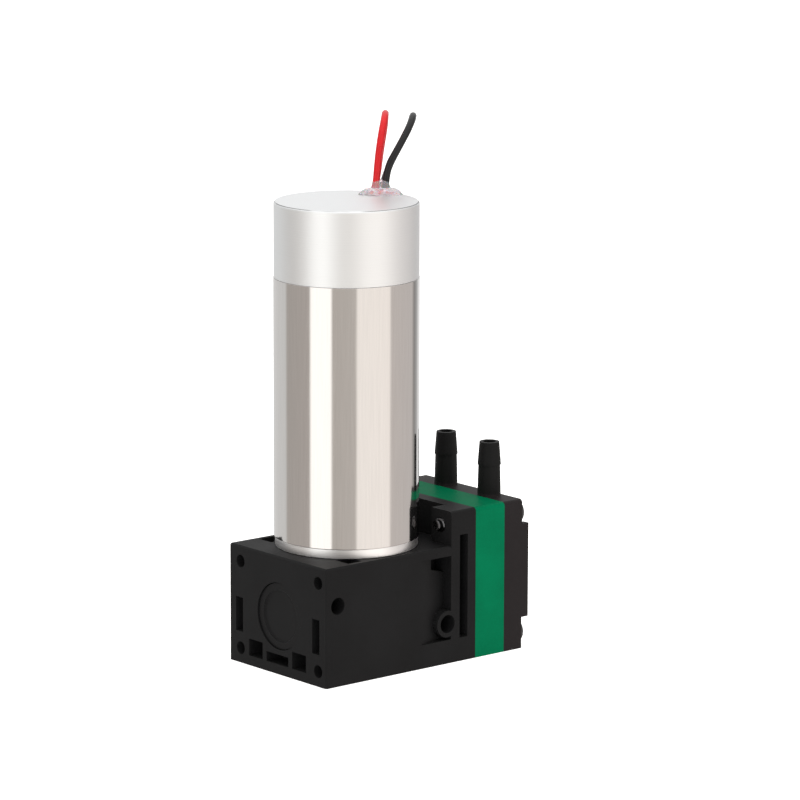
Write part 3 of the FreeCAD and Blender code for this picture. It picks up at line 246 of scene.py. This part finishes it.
def add_noise(tree, place, values):
    """A cloudy noise, read at a place."""
    noise = add_node(tree, "ShaderNodeTexNoise", values)
    wire(tree, place, noise.inputs["Vector"])
    return noise


def map_range(tree, source, start, end, low=0.0, high=1.0, **settings):
    """A number that goes from low to high while its source goes from start to end."""
    values = {"From Min": start, "From Max": end, "To Min": low, "To Max": high}
    span = add_node(tree, "ShaderNodeMapRange", values, **settings)
    wire(tree, source, span.inputs["Value"])
    return span.outputs["Result"]


def mix(tree, mask, plain, colour, **settings):
    """The plain colour, with another one mixed in as far as a mask says."""
    blend = add_node(tree, "ShaderNodeMix", {"B": (*colour, 1.0)}, data_type="RGBA", **settings)
    wire(tree, mask, blend.inputs["Factor"])
    wire(tree, plain, blend.inputs["A"])
    return blend.outputs["Result"]


def group_ends(group):
    """The sockets that a group is given, and those that it fills."""
    ends = {node.type: node for node in group.nodes}
    return ends["GROUP_INPUT"].outputs, ends["GROUP_OUTPUT"].inputs


GRAIN_SCALE = 2600.0
PEBBLE_SHARE = 0.35


def make_moulded_grain():
    """Spark-eroded mould texture: a fine pebble with slow drifts of tone."""
    group = new_group("moulded_grain", [("Scale", GRAIN_SCALE), ("Drift", 90.0)], ["Tone", "Height"])
    given, wanted = group_ends(group)
    place = object_place(group)
    pebble = add_noise(group, place, {"Detail": 3.0, "Roughness": 0.6})
    wire(group, given["Scale"], pebble.inputs["Scale"])
    drift = add_noise(group, place, {"Detail": 2.0})
    wire(group, given["Drift"], drift.inputs["Scale"])
    fine = maths(group, "MULTIPLY", pebble.outputs["Fac"], PEBBLE_SHARE)
    slow = maths(group, "MULTIPLY", drift.outputs["Fac"], 1 - PEBBLE_SHARE)
    wire(group, maths(group, "ADD", fine, slow), wanted["Tone"])
    wire(group, pebble.outputs["Fac"], wanted["Height"])
    return group


def make_lathe_marks():
    """Rings left by turning: lines round the motor's axis, up the wall and across the end."""
    group = new_group("lathe_marks", [("Fineness", 9000.0)], ["Tone", "Height"])
    given, wanted = group_ends(group)
    parts = from_axis(group)
    place = maths(group, "ADD", axis_radius(group, parts), parts["Z"])
    values = {"Scale": 1.0, "Detail": 4.0, "Roughness": 0.7}
    lines = add_node(group, "ShaderNodeTexNoise", values, noise_dimensions="1D")
    wire(group, maths(group, "MULTIPLY", place, given["Fineness"]), lines.inputs["W"])
    wire(group, lines.outputs["Fac"], wanted["Tone"])
    wire(group, lines.outputs["Fac"], wanted["Height"])
    return group


def make_drawn_streaks():
    """Streaks of a drawn and polished tube: they run up the wall and fade in and out."""
    group = new_group("drawn_streaks", [("Count", 420.0), ("Length", 12.0)], ["Tone", "Height"])
    given, wanted = group_ends(group)
    parts = from_axis(group)
    stretched = add_node(group, "ShaderNodeCombineXYZ")
    for axis, factor in (("X", "Count"), ("Y", "Count"), ("Z", "Length")):
        wire(group, maths(group, "MULTIPLY", parts[axis], given[factor]), stretched.inputs[axis])
    streaks = add_noise(group, stretched.outputs[0], {"Scale": 6.0, "Detail": 4.0})
    wire(group, streaks.outputs["Fac"], wanted["Tone"])
    wire(group, streaks.outputs["Fac"], wanted["Height"])
    return group


moulded_grain = make_moulded_grain()
lathe_marks = make_lathe_marks()
drawn_streaks = make_drawn_streaks()


# Finishes, in place of the plain ones that come with the frame

GRAIN_DEPTH = 0.02 * MM
MARK_DEPTH = 0.01 * MM
# Most of a noise's values lie in this range
TONE_RANGE = (0.3, 0.7)
# Tone multiplied into a finish above a height, and the rise over which it comes in: the cover is darker
# and greener there
ABOVE_FOOT_FADE = 0.6 * MM
ABOVE_FOOT_TONE = (0.5, 0.62, 0.6)
RIM_LINE_START = CAP_RADIUS - CAP_CHAMFER + 0.02 * MM
RIM_LINE_END = CAP_RADIUS - CAP_CHAMFER / 2
RIM_LINE_TONE = (0.42, 0.42, 0.42)

for plain in list(bpy.data.materials):
    bpy.data.materials.remove(plain)


def new_finish(name, **shader_values):
    """A material with constants on its shader's own sockets."""
    material = bpy.data.materials.new(name)
    material.use_nodes = True
    shader = material.node_tree.nodes["Principled BSDF"]
    for label, value in shader_values.items():
        shader.inputs[label.replace("_", " ")].default_value = value
    return material, material.node_tree, shader


def place_group(tree, group, **values):
    return add_node(tree, "ShaderNodeGroup", values, node_tree=group)


def tint(tree, tone, dark, light, target, low=0.35, high=0.65):
    """Feed a colour between dark and light, by a tone, to a colour socket."""
    ramp = add_node(tree, "ShaderNodeValToRGB")
    ramp.color_ramp.elements[0].position = low
    ramp.color_ramp.elements[1].position = high
    ramp.color_ramp.elements[0].color = (*dark, 1.0)
    ramp.color_ramp.elements[1].color = (*light, 1.0)
    wire(tree, tone, ramp.inputs["Fac"])
    wire(tree, ramp.outputs["Color"], target)


def spread(tree, tone, low, high, target):
    """Feed a number between low and high, by a tone, to a socket."""
    wire(tree, map_range(tree, tone, *TONE_RANGE, low, high), target)


def emboss(tree, height, strength, distance, shader):
    bump = add_node(tree, "ShaderNodeBump", {"Strength": strength, "Distance": distance})
    wire(tree, height, bump.inputs["Height"])
    wire(tree, bump.outputs["Normal"], shader.inputs["Normal"])


def vary(tree, tone, colour, change, target):
    """Feed a colour that a tone makes a little darker or lighter to a colour socket."""
    dark = tuple(channel * (1 - change) for channel in colour)
    light = tuple(channel * (1 + change) for channel in colour)
    tint(tree, tone, dark, light, target)


def moulded(name, colour, roughness, relief=0.35, scale=GRAIN_SCALE, **values):
    """Moulded plastic or rubber with a fine grain."""
    material, tree, shader = new_finish(name, **values)
    grain = place_group(tree, moulded_grain, Scale=scale)
    vary(tree, grain.outputs["Tone"], colour, 0.12, shader.inputs["Base Color"])
    spread(tree, grain.outputs["Tone"], roughness - 0.05, roughness + 0.05, shader.inputs["Roughness"])
    emboss(tree, grain.outputs["Height"], relief, GRAIN_DEPTH, shader)
    return material


def metal(name, colour, roughness, group, relief, change=0.04, **group_values):
    """Metal with the marks that a node group gives it."""
    material, tree, shader = new_finish(name, Metallic=1.0)
    marks = place_group(tree, group, **group_values)
    vary(tree, marks.outputs["Tone"], colour, change, shader.inputs["Base Color"])
    spread(tree, marks.outputs["Tone"], roughness * 0.8, roughness * 1.2, shader.inputs["Roughness"])
    emboss(tree, marks.outputs["Height"], relief, MARK_DEPTH, shader)
    return material


def darken(material, mask, colour):
    """Multiply a finish's colour by another one, as far as a mask says."""
    tree = material.node_tree
    target = tree.nodes["Principled BSDF"].inputs["Base Color"]
    plain = target.links[0].from_socket
    wire(tree, mix(tree, mask, plain, colour, blend_type="MULTIPLY"), target)
    return material


def deepen_above(material, height):
    """Darken a moulded finish, and shift it towards green, above a height."""
    tree = material.node_tree
    level = split(tree, object_place(tree))["Z"]
    rise = map_range(tree, level, height, height + ABOVE_FOOT_FADE)
    return darken(material, rise, ABOVE_FOOT_TONE)


def line_rim(material):
    """Dark, broken line of reflections along the inner half of the cap's chamfer."""
    tree = material.node_tree
    radius = axis_radius(tree, from_axis(tree))
    outside = maths(tree, "GREATER_THAN", radius, RIM_LINE_START)
    inside = maths(tree, "LESS_THAN", radius, RIM_LINE_END)
    breaks = add_noise(tree, object_place(tree), {"Scale": 90.0})
    fade = map_range(tree, breaks.outputs["Fac"], 0.42, 0.55)
    line = maths(tree, "MULTIPLY", maths(tree, "MULTIPLY", outside, inside), fade)
    return darken(material, line, RIM_LINE_TONE)


def make_finishes():
    """One finish for each material slot of the record."""
    finishes = {}

    def keep(material):
        finishes[material.name] = material

    keep(moulded("crankcase_plastic", (0.0088, 0.0088, 0.0092), 0.5, Specular_IOR_Level=0.08))
    keep(moulded("plug_plastic", (0.0088, 0.0088, 0.0092), 0.45, 0.2, Specular_IOR_Level=0.08))
    keep(moulded("green_plastic", (0.0, 0.122, 0.052), 0.5, 0.3, Specular_IOR_Level=0.02))
    cover = moulded("cover_plastic", (0.0135, 0.0112, 0.0118), 0.5, Specular_IOR_Level=0.1)
    # The cover's colour is darker and greener above the barbs' foot
    keep(deepen_above(cover, BARB_FOOT))
    keep(moulded("seal_rubber", (0.02, 0.02, 0.02), 0.6, 0.4))
    keep(moulded("rod_plastic", (0.5, 0.48, 0.42), 0.45, 0.3))
    keep(moulded("frame_plastic", (0.035, 0.035, 0.037), 0.5, 0.3))
    keep(moulded("board_resin", (0.015, 0.12, 0.05), 0.3, 0.2, 1200.0))
    keep(moulded("component_plastic", (0.02, 0.02, 0.02), 0.35, 0.2))
    keep(moulded("magnet_coating", (0.07, 0.07, 0.08), 0.35, 0.3))
    keep(moulded("red_insulation", (0.5, 0.006, 0.01), 0.3, 0.1, 900.0, Specular_IOR_Level=0.3))
    keep(moulded("black_insulation", (0.008, 0.008, 0.009), 0.3, 0.1, 900.0, Specular_IOR_Level=0.3))
    keep(moulded("black_screw", (0.02, 0.02, 0.022), 0.35, 0.3))
    keep(metal("can_steel", (0.69, 0.67, 0.655), 0.1, drawn_streaks, 0.02, 0.02))
    keep(line_rim(metal("cap_aluminium", (0.88, 0.895, 0.905), 0.5, lathe_marks, 0.1)))
    keep(metal("screw_steel", (0.1, 0.1, 0.105), 0.2, moulded_grain, 0.3, Scale=1500.0))
    keep(metal("cast_bell", (0.97, 0.97, 0.97), 0.38, lathe_marks, 0.1))
    keep(metal("bright_steel", (0.66, 0.65, 0.62), 0.24, moulded_grain, 0.2, Scale=1500.0))
    keep(metal("bearing_steel", (0.62, 0.62, 0.63), 0.2, lathe_marks, 0.1))
    keep(metal("turned_steel", (0.52, 0.52, 0.53), 0.28, lathe_marks, 0.3))
    keep(metal("lamination_steel", (0.16, 0.16, 0.17), 0.45, lathe_marks, 0.6, Fineness=14000.0))
    keep(metal("winding_wire", (0.6, 0.26, 0.11), 0.3, lathe_marks, 0.6, Fineness=6000.0))
    keep(metal("tinned_wire", (0.72, 0.72, 0.7), 0.3, moulded_grain, 0.5, Scale=1800.0))
    keep(make_potting_compound())
    return finishes


def make_potting_compound():
    """Milky, glossy sealing compound that lets some light through."""
    values = {"Transmission_Weight": 0.82, "IOR": 1.3, "Subsurface_Weight": 0.2}
    material, tree, shader = new_finish("potting_compound", **values)
    shader.inputs["Subsurface Scale"].default_value = 1.0 * MM
    grain = place_group(tree, moulded_grain, Scale=300.0, Drift=160.0)
    tint(tree, grain.outputs["Tone"], (0.84, 0.82, 0.86), (0.95, 0.93, 0.96), shader.inputs["Base Color"])
    spread(tree, grain.outputs["Tone"], 0.08, 0.2, shader.inputs["Roughness"])
    emboss(tree, grain.outputs["Height"], 0.1, 0.05 * MM, shader)
    return material


finishes = make_finishes()


def dress(piece, slot):
    """Give a piece its slot's finish, as its only one."""
    piece.data.materials.clear()
    piece.data.materials.append(finishes[slot])
    return piece


for entry in frame["record"]["subparts"]:
    dress(frame["nodes"][entry["node"]], entry["material_slot"])
dress(red_lead, "red_insulation")
dress(black_lead, "black_insulation")


# Working in edit mode

JOIN_GAP = 0.5e-6
FLAT_ANGLE = math.radians(0.4)
# Least part of a normal that points along an axis, for a face square to it
SQUARE = 0.9


def select_only(piece):
    bpy.ops.object.select_all(action="DESELECT")
    piece.select_set(True)
    bpy.context.view_layer.objects.active = piece


def edit_mode(piece, kind):
    select_only(piece)
    bpy.ops.object.mode_set(mode="EDIT")
    bpy.ops.mesh.select_mode(type=kind)


def object_mode():
    bpy.ops.object.mode_set(mode="OBJECT")


def pick(piece, test, kind="FACE"):
    """Select the faces or edges of a piece that pass the test, and stay in edit mode."""
    edit_mode(piece, kind)
    bpy.ops.mesh.select_all(action="DESELECT")
    object_mode()
    mesh = piece.data
    if kind == "FACE":
        for polygon in mesh.polygons:
            polygon.select = test(polygon)
    else:
        for edge in mesh.edges:
            ends = [mesh.vertices[index].co for index in edge.vertices]
            edge.select = test(*ends)
    bpy.ops.object.mode_set(mode="EDIT")


def is_end(polygon):
    return abs(polygon.normal.z) > SQUARE


def is_bottom(polygon):
    return polygon.normal.z < -SQUARE


def above(level):
    """A test that takes the edges above a height."""

    def test(first, second):
        return min(first.z, second.z) > level

    return test


def add_modifier(piece, kind, **settings):
    """Add a modifier and apply it."""
    select_only(piece)
    modifier = piece.modifiers.new(kind.lower(), kind)
    for key, value in settings.items():
        setattr(modifier, key, value)
    bpy.ops.object.modifier_apply(modifier=modifier.name)


def round_edges(piece, width, segments, sharp=30.0):
    """Bevel every edge that is sharper than an angle."""
    angle = math.radians(sharp)
    add_modifier(piece, "BEVEL", width=width, segments=segments, limit_method="ANGLE", angle_limit=angle)


def combine(piece, tool, operation):
    """Cut a tool from a piece, join the two or keep what they share."""
    add_modifier(piece, "BOOLEAN", object=tool, operation=operation, solver="EXACT")


def smooth(piece, degrees=30.0):
    """Smooth shading under the given angle, with large faces kept flat beside rounded edges."""
    select_only(piece)
    bpy.ops.object.shade_smooth_by_angle(angle=math.radians(degrees))
    add_modifier(piece, "WEIGHTED_NORMAL", mode="FACE_AREA", weight=100, keep_sharp=True)


def settle(piece):
    """Put the piece's place, turn and scale into its mesh."""
    select_only(piece)
    bpy.ops.object.transform_apply(location=True, rotation=True, scale=True)


def finish_piece(piece, body, slot, *nodes):
    """Dress a piece, put it on its body and hide the nodes it stands for."""
    dress(piece, slot)
    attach(piece, body)
    if nodes:
        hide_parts(*nodes)
    piece.select_set(False)
    return piece


def copy_node(node, name):
    """A copy of a node's solid with its corners joined and its flat faces whole."""
    piece = bpy.data.objects.new(name, frame["nodes"][node].data.copy())
    bpy.context.scene.collection.objects.link(piece)
    edit_mode(piece, "VERT")
    bpy.ops.mesh.select_all(action="SELECT")
    bpy.ops.mesh.remove_doubles(threshold=JOIN_GAP)
    bpy.ops.mesh.dissolve_limited(angle_limit=FLAT_ANGLE)
    object_mode()
    return piece


def soften(node, width, segments):
    """A node's solid with its edges rounded a little and its curves shaded smooth."""
    piece = copy_node(node, f"{node}_surface")
    round_edges(piece, width, segments, 35.0)
    smooth(piece, 40.0)
    return piece


# Crankcase, plug, plate, cover and bell: the solids' own shapes with rounded edges

BODY = "pump_body"
for node, slot, width, segments in (
    ("crankcase", "crankcase_plastic", 0.22, 2),
    ("access_plug", "plug_plastic", 0.2, 2),
    ("chamber_plate", "green_plastic", 0.15, 2),
    ("head_cover", "cover_plastic", 0.2, 2),
    ("motor_bell", "cast_bell", 0.3, 3),
):
    finish_piece(soften(node, width * MM, segments), BODY, slot, node)


# Diaphragm, split where it flexes

FLEX_RADIUS = 9.0 * MM
CUTTER_LENGTH = 20.0 * MM


def split_diaphragm():
    """The middle goes with the rod that clamps it, and the rim stays in its groove."""
    low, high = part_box("diaphragm")
    bpy.ops.mesh.primitive_cylinder_add(
        vertices=96,
        radius=FLEX_RADIUS,
        depth=CUTTER_LENGTH,
        location=(low + high) / 2,
        rotation=(0, math.pi / 2, 0),
    )
    cutter = bpy.context.active_object
    settle(cutter)
    for name, operation, body, nodes in (
        ("diaphragm_middle", "INTERSECT", "rod", ()),
        ("diaphragm_rim", "DIFFERENCE", BODY, ("diaphragm",)),
    ):
        piece = copy_node("diaphragm", name)
        combine(piece, cutter, operation)
        smooth(piece)
        finish_piece(piece, body, "seal_rubber", *nodes)
    bpy.data.objects.remove(cutter)


split_diaphragm()


# Motor can and cap

ROUND_STEPS = 256


def add_round(name, radius, low, high, steps=ROUND_STEPS):
    """A cylinder about the motor's axis, between two heights."""
    centre = MOTOR_AXIS + Vector((0, 0, (low + high) / 2))
    bpy.ops.mesh.primitive_cylinder_add(
        vertices=steps, radius=radius, depth=high - low, end_fill_type="NGON", location=centre
    )
    piece = bpy.context.active_object
    piece.name = name
    settle(piece)
    return piece


def add_can():
    """Open steel tube with its two rims rounded over."""
    can = add_round("motor_can_tube", CAN_RADIUS, CAN_LOW.z, CAN_HIGH.z)
    pick(can, is_end)
    bpy.ops.mesh.inset(thickness=CAN_WALL)
    bpy.ops.mesh.delete(type="FACE")
    bpy.ops.mesh.select_mode(type="EDGE")
    bpy.ops.mesh.select_all(action="DESELECT")
    bpy.ops.mesh.select_non_manifold()
    bpy.ops.mesh.bridge_edge_loops()
    object_mode()
    round_edges(can, 0.12 * MM, 3)
    smooth(can)
    return finish_piece(can, BODY, "can_steel", "motor_can")


def add_cap():
    """Aluminium cap with a bright chamfer round its top and a fine step at the seam."""
    cap = add_round("motor_cap_shell", CAP_RADIUS, CAN_HIGH.z + SEAM, CAP_HIGH.z)
    pick(cap, above(CAP_HIGH.z - 0.01 * MM), "EDGE")
    bpy.ops.mesh.bevel(offset=CAP_CHAMFER, segments=1)
    object_mode()
    round_edges(cap, 0.05 * MM, 2, 20.0)
    smooth(cap)
    return finish_piece(cap, BODY, "cap_aluminium", "motor_cap")


add_can()
add_cap()


# Screws

CROSS_TAPER = 0.72


def add_cross(width, length, depth, top):
    """Tool for a cross recess whose arms narrow towards the bottom."""
    arms = []
    for wide, deep in ((length, width), (width, length)):
        bpy.ops.mesh.primitive_cube_add(size=1.0, location=(0, 0, top))
        arm = bpy.context.active_object
        arm.scale = (wide, deep, 2 * depth)
        settle(arm)
        pick(arm, is_bottom)
        bpy.ops.transform.resize(value=(CROSS_TAPER, CROSS_TAPER, 1.0))
        object_mode()
        arms.append(arm)
    combine(arms[0], arms[1], "UNION")
    bpy.data.objects.remove(arms[1])
    return arms[0]


def add_thread(radius, pitch, turns, low):
    """One ridge wound round the screw's shank."""
    core, half = radius * 0.8, pitch * 0.42
    crest = half * 0.15
    bpy.ops.mesh.primitive_plane_add(size=1.0)
    ridge = bpy.context.active_object
    ridge.name = "thread_ridge"
    profile = [(core, -half), (radius, -crest), (radius, crest), (core, half)]
    for index, (reach, level) in zip(ridge.data.polygons[0].vertices, profile):
        ridge.data.vertices[index].co = (reach, 0, low + pitch + level)

    def inner(first, second):
        return max(first.x, second.x) < core * 1.01

    pick(ridge, inner, "EDGE")
    bpy.ops.mesh.delete(type="EDGE")
    object_mode()
    add_modifier(
        ridge,
        "SCREW",
        axis="Z",
        screw_offset=pitch,
        iterations=turns,
        steps=20,
        render_steps=20,
        use_smooth_shade=True,
    )
    return ridge


def add_screw(name, radius, length, head_radius, head_height):
    """Pan-head screw standing on its tip: the underside of the head is at height zero."""
    bpy.ops.mesh.primitive_cylinder_add(
        vertices=48, radius=head_radius, depth=head_height, location=(0, 0, head_height / 2)
    )
    head = bpy.context.active_object
    head.name = name
    settle(head)
    pick(head, above(head_height * 0.99), "EDGE")
    bpy.ops.mesh.bevel(offset=head_height * 0.32, segments=5, profile=0.5)
    object_mode()
    arm_width, arm_length, arm_depth = radius * 0.5, head_radius * 1.2, head_height * 0.55
    cross = add_cross(arm_width, arm_length, arm_depth, head_height)
    combine(head, cross, "DIFFERENCE")
    bpy.data.objects.remove(cross)
    round_edges(head, 0.05 * MM, 1, 45.0)
    bpy.ops.mesh.primitive_cylinder_add(
        vertices=32, radius=radius * 0.82, depth=length, location=(0, 0, -length / 2)
    )
    shank = bpy.context.active_object
    settle(shank)
    round_edges(shank, radius * 0.3, 2)
    pitch, threaded = radius * 0.42, length * 0.6
    ridge = add_thread(radius, pitch, int(threaded / pitch), -length + pitch * 0.5)
    bpy.ops.object.select_all(action="DESELECT")
    for part in (shank, ridge, head):
        part.select_set(True)
    bpy.context.view_layer.objects.active = head
    bpy.ops.object.join()
    smooth(head, 35.0)
    return head


def place_screw(model, name, base, direction):
    """A copy of the screw with its own mesh, turned to its hole."""
    screw = bpy.data.objects.new(name, model.data.copy())
    bpy.context.scene.collection.objects.link(screw)
    turn = Vector((0, 0, 1)).rotation_difference(Vector(direction)).to_matrix().to_4x4()
    screw.data.transform(Matrix.Translation(base) @ turn)
    return screw


def place_pair(model, name, middle, apart, direction, node):
    """Two copies of the screw, one on each side of a middle place."""
    for side_name, side in (("left", -1), ("right", 1)):
        base = middle + Vector((0, apart * side, 0))
        screw = place_screw(model, f"{name}_{side_name}", base, direction)
        finish_piece(screw, BODY, "screw_steel", node)


PAN_HEAD = {"head_radius": 3.1 * MM, "head_height": 2.0 * MM}

HEAD_SCREW_SPREAD = 14.8 * MM
HEAD_SCREW_LEVELS = {"lower": 3.7 * MM, "upper": 34.5 * MM}
HEAD_SCREW_SEAT = COVER_BACK + COVER_THICKNESS
head_screw = add_screw("head_screw_model", radius=1.68 * MM, length=25.0 * MM, **PAN_HEAD)
for level_name, level in HEAD_SCREW_LEVELS.items():
    middle = Vector((HEAD_SCREW_SEAT, 0, level))
    place_pair(head_screw, f"head_screw_{level_name}", middle, HEAD_SCREW_SPREAD, (1, 0, 0), "head_screws")
bpy.data.objects.remove(head_screw)

MOTOR_SCREW_SPREAD = 15.0 * MM
MOTOR_SCREW_SEAT = MOTOR_AXIS + Vector((0, 0, 2.2 * MM))
motor_screw = add_screw("motor_screw_model", radius=1.48 * MM, length=31.6 * MM, **PAN_HEAD)
place_pair(motor_screw, "motor_screw", MOTOR_SCREW_SEAT, MOTOR_SCREW_SPREAD, (0, 0, -1), "motor_screws")
bpy.data.objects.remove(motor_screw)


# Sealing compound on the cap

POTTING_PLACE = Vector((2.0, 2.55, 0.0)) * MM
POTTING_TURN = math.radians(-40.0)
POTTING_WAVE_LENGTH = 2.4 * MM
POTTING_WAVE_HEIGHT = 0.5 * MM
# Rings from the foot up to the top of the crown: half length, half width and height
POTTING_RINGS = [
    (5.6, 3.0, 0.0),
    (5.5, 2.95, 0.2),
    (4.8, 2.65, 0.9),
    (4.0, 2.3, 1.4),
    (3.3, 1.95, 1.6),
    (2.6, 1.6, 1.6),
    (2.35, 1.4, 1.9),
    (2.25, 1.3, 2.7),
    (2.1, 1.2, 3.3),
    (1.7, 0.9, 3.6),
]


def add_potting():
    """A low skirt with a raised, clear crown where the two leads go in."""
    length, width, height = POTTING_RINGS[0]
    bpy.ops.mesh.primitive_circle_add(vertices=72, radius=length * MM, fill_type="NOTHING")
    bead = bpy.context.active_object
    bead.name = "lead_potting_bead"
    edit_mode(bead, "EDGE")
    bpy.ops.mesh.select_all(action="SELECT")
    bpy.ops.transform.resize(value=(1.0, width / length, 1.0))
    for longer, wider, higher in POTTING_RINGS[1:]:
        rise = (0, 0, (higher - height) * MM)
        bpy.ops.mesh.extrude_edges_move(TRANSFORM_OT_translate={"value": rise})
        bpy.ops.transform.resize(value=(longer / length, wider / width, 1.0))
        length, width, height = longer, wider, higher
    bpy.ops.mesh.extrude_edges_move()
    bpy.ops.mesh.merge(type="CENTER")
    object_mode()
    add_modifier(bead, "SUBSURF", levels=1, render_levels=1)
    waves = bpy.data.textures.new("potting_waves", "CLOUDS")
    waves.noise_scale = POTTING_WAVE_LENGTH
    add_modifier(bead, "DISPLACE", texture=waves, strength=POTTING_WAVE_HEIGHT, mid_level=0.5)
    edit_mode(bead, "EDGE")
    bpy.ops.mesh.select_all(action="DESELECT")
    bpy.ops.mesh.select_non_manifold()
    bpy.ops.mesh.edge_face_add()
    bpy.ops.mesh.select_all(action="SELECT")
    bpy.ops.mesh.normals_make_consistent(inside=False)
    object_mode()
    bead.location = POTTING_PLACE + Vector((0, 0, CAP_HIGH.z))
    bead.rotation_euler = (0, 0, POTTING_TURN)
    settle(bead)
    smooth(bead, 60.0)
    return finish_piece(bead, BODY, "potting_compound", "lead_potting")


add_potting()


# Leads' lengths and tips, listed but not used

TIPS = frame["nodes"]["lead_tips"]
for lead, route, length, tips in (
    (red_lead, RED_ROUTE, 232.6 * MM, [TIPS]),
    (black_lead, BLACK_ROUTE, 213.6 * MM, []),
):
    tuple(Vector(route[0]) * MM)


# Studio: a white surround whose soft boxes show as upright bands in the steel

VIEW_BEARING = math.atan2(CAMERA_PLACE.y - CAMERA_AIM.y, CAMERA_PLACE.x - CAMERA_AIM.x)
# Bearings in degrees from the camera's own, and the surround's colour at each
BANDS = [
    (-180, (0.76, 0.76, 0.76)),
    (-112, (0.76, 0.76, 0.75)),
    (-106, (0.5, 0.47, 0.44)),
    (-60, (0.53, 0.49, 0.46)),
    (-57, (1.55, 1.52, 1.47)),
    (-24, (1.55, 1.52, 1.47)),
    (-21, (0.6, 0.56, 0.52)),
    (15, (0.64, 0.6, 0.56)),
    (18, (1.2, 1.14, 1.08)),
    (72, (1.2, 1.13, 1.07)),
    (76, (0.7, 0.65, 0.62)),
    (126, (0.66, 0.62, 0.6)),
    (134, (0.3, 0.29, 0.28)),
    (146, (0.5, 0.5, 0.5)),
    (156, (0.9, 0.9, 0.9)),
    (180, (0.9, 0.9, 0.9)),
]
SKY_COLOUR = (1.25, 1.24, 1.23)
BACKDROP_COLOUR = (1.0, 1.0, 1.0)
FLOOR_SIZE = 6.0
FLOOR_LEVEL = -0.02 * MM


def make_surround():
    world = bpy.data.worlds.new("studio_surround")
    bpy.context.scene.world = world
    world.use_nodes = True
    tree = world.node_tree
    background = tree.nodes["Background"]
    direction = add_node(tree, "ShaderNodeTexCoord").outputs["Generated"]
    parts = split(tree, direction)
    bearing = maths(tree, "ARCTAN2", parts["Y"], parts["X"])
    turned = maths(tree, "SUBTRACT", bearing, VIEW_BEARING)
    turns = maths(tree, "DIVIDE", turned, 2 * math.pi)
    place = maths(tree, "FRACT", maths(tree, "ADD", turns, 1.5))
    ramp = add_node(tree, "ShaderNodeValToRGB")
    # A new ramp comes with two stops
    stops = ramp.color_ramp.elements
    for index, (degrees, colour) in enumerate(BANDS):
        spot = degrees / 360 + 0.5
        stop = stops[index] if index < 2 else stops.new(spot)
        stop.position = spot
        stop.color = (*colour, 1.0)
    wire(tree, place, ramp.inputs["Fac"])
    height = map_range(tree, parts["Z"], 0.45, 0.8, interpolation_type="SMOOTHSTEP")
    sky = mix(tree, height, ramp.outputs["Color"], SKY_COLOUR)
    seen = add_node(tree, "ShaderNodeLightPath").outputs["Is Camera Ray"]
    wire(tree, mix(tree, seen, sky, BACKDROP_COLOUR), background.inputs["Color"])


def add_floor():
    """Pale table, lit so that only a faint contact shadow stays, and clear from below."""
    bpy.ops.mesh.primitive_plane_add(size=FLOOR_SIZE, location=(0, 0, FLOOR_LEVEL))
    floor = bpy.context.active_object
    floor.name = "studio_floor"
    material, tree, shader = new_finish(
        "floor_paper",
        Base_Color=(0.9, 0.9, 0.9, 1.0),
        Roughness=0.9,
        Specular_IOR_Level=0.0,
        Emission_Color=(1.0, 1.0, 1.0, 1.0),
        Emission_Strength=0.5,
    )
    clear = add_node(tree, "ShaderNodeBsdfTransparent")
    two_sides = add_node(tree, "ShaderNodeMixShader")
    wire(tree, add_node(tree, "ShaderNodeNewGeometry").outputs["Backfacing"], two_sides.inputs[0])
    wire(tree, shader.outputs[0], two_sides.inputs[1])
    wire(tree, clear.outputs[0], two_sides.inputs[2])
    wire(tree, two_sides.outputs[0], tree.nodes["Material Output"].inputs["Surface"])
    floor.data.materials.append(material)
    floor.visible_glossy = False
    floor.select_set(False)


def add_softbox(name, place, aim, size, energy, colour):
    bpy.ops.object.light_add(type="AREA", location=Vector(place) * MM)
    light = bpy.context.active_object
    light.name = name
    light.data.shape = "RECTANGLE"
    light.data.size, light.data.size_y = (side * MM for side in size)
    light.data.energy = energy
    light.data.color = colour
    light.rotation_euler = (Vector(aim) * MM - light.location).to_track_quat("-Z", "Y").to_euler()
    light.visible_camera = False
    light.visible_glossy = False
    light.select_set(False)


make_surround()
add_floor()
add_softbox("top_box", (-100, -150, 900), (0, 0, 40), (700, 700), 3.0, (1.0, 0.99, 0.97))
add_softbox("front_box", (-820, -640, 180), (0, 0, 30), (500, 400), 2.0, (1.0, 1.0, 1.0))

scene = bpy.context.scene
scene.view_settings.view_transform = "Standard"
scene.view_settings.look = "None"

bpy.context.view_layer.update()
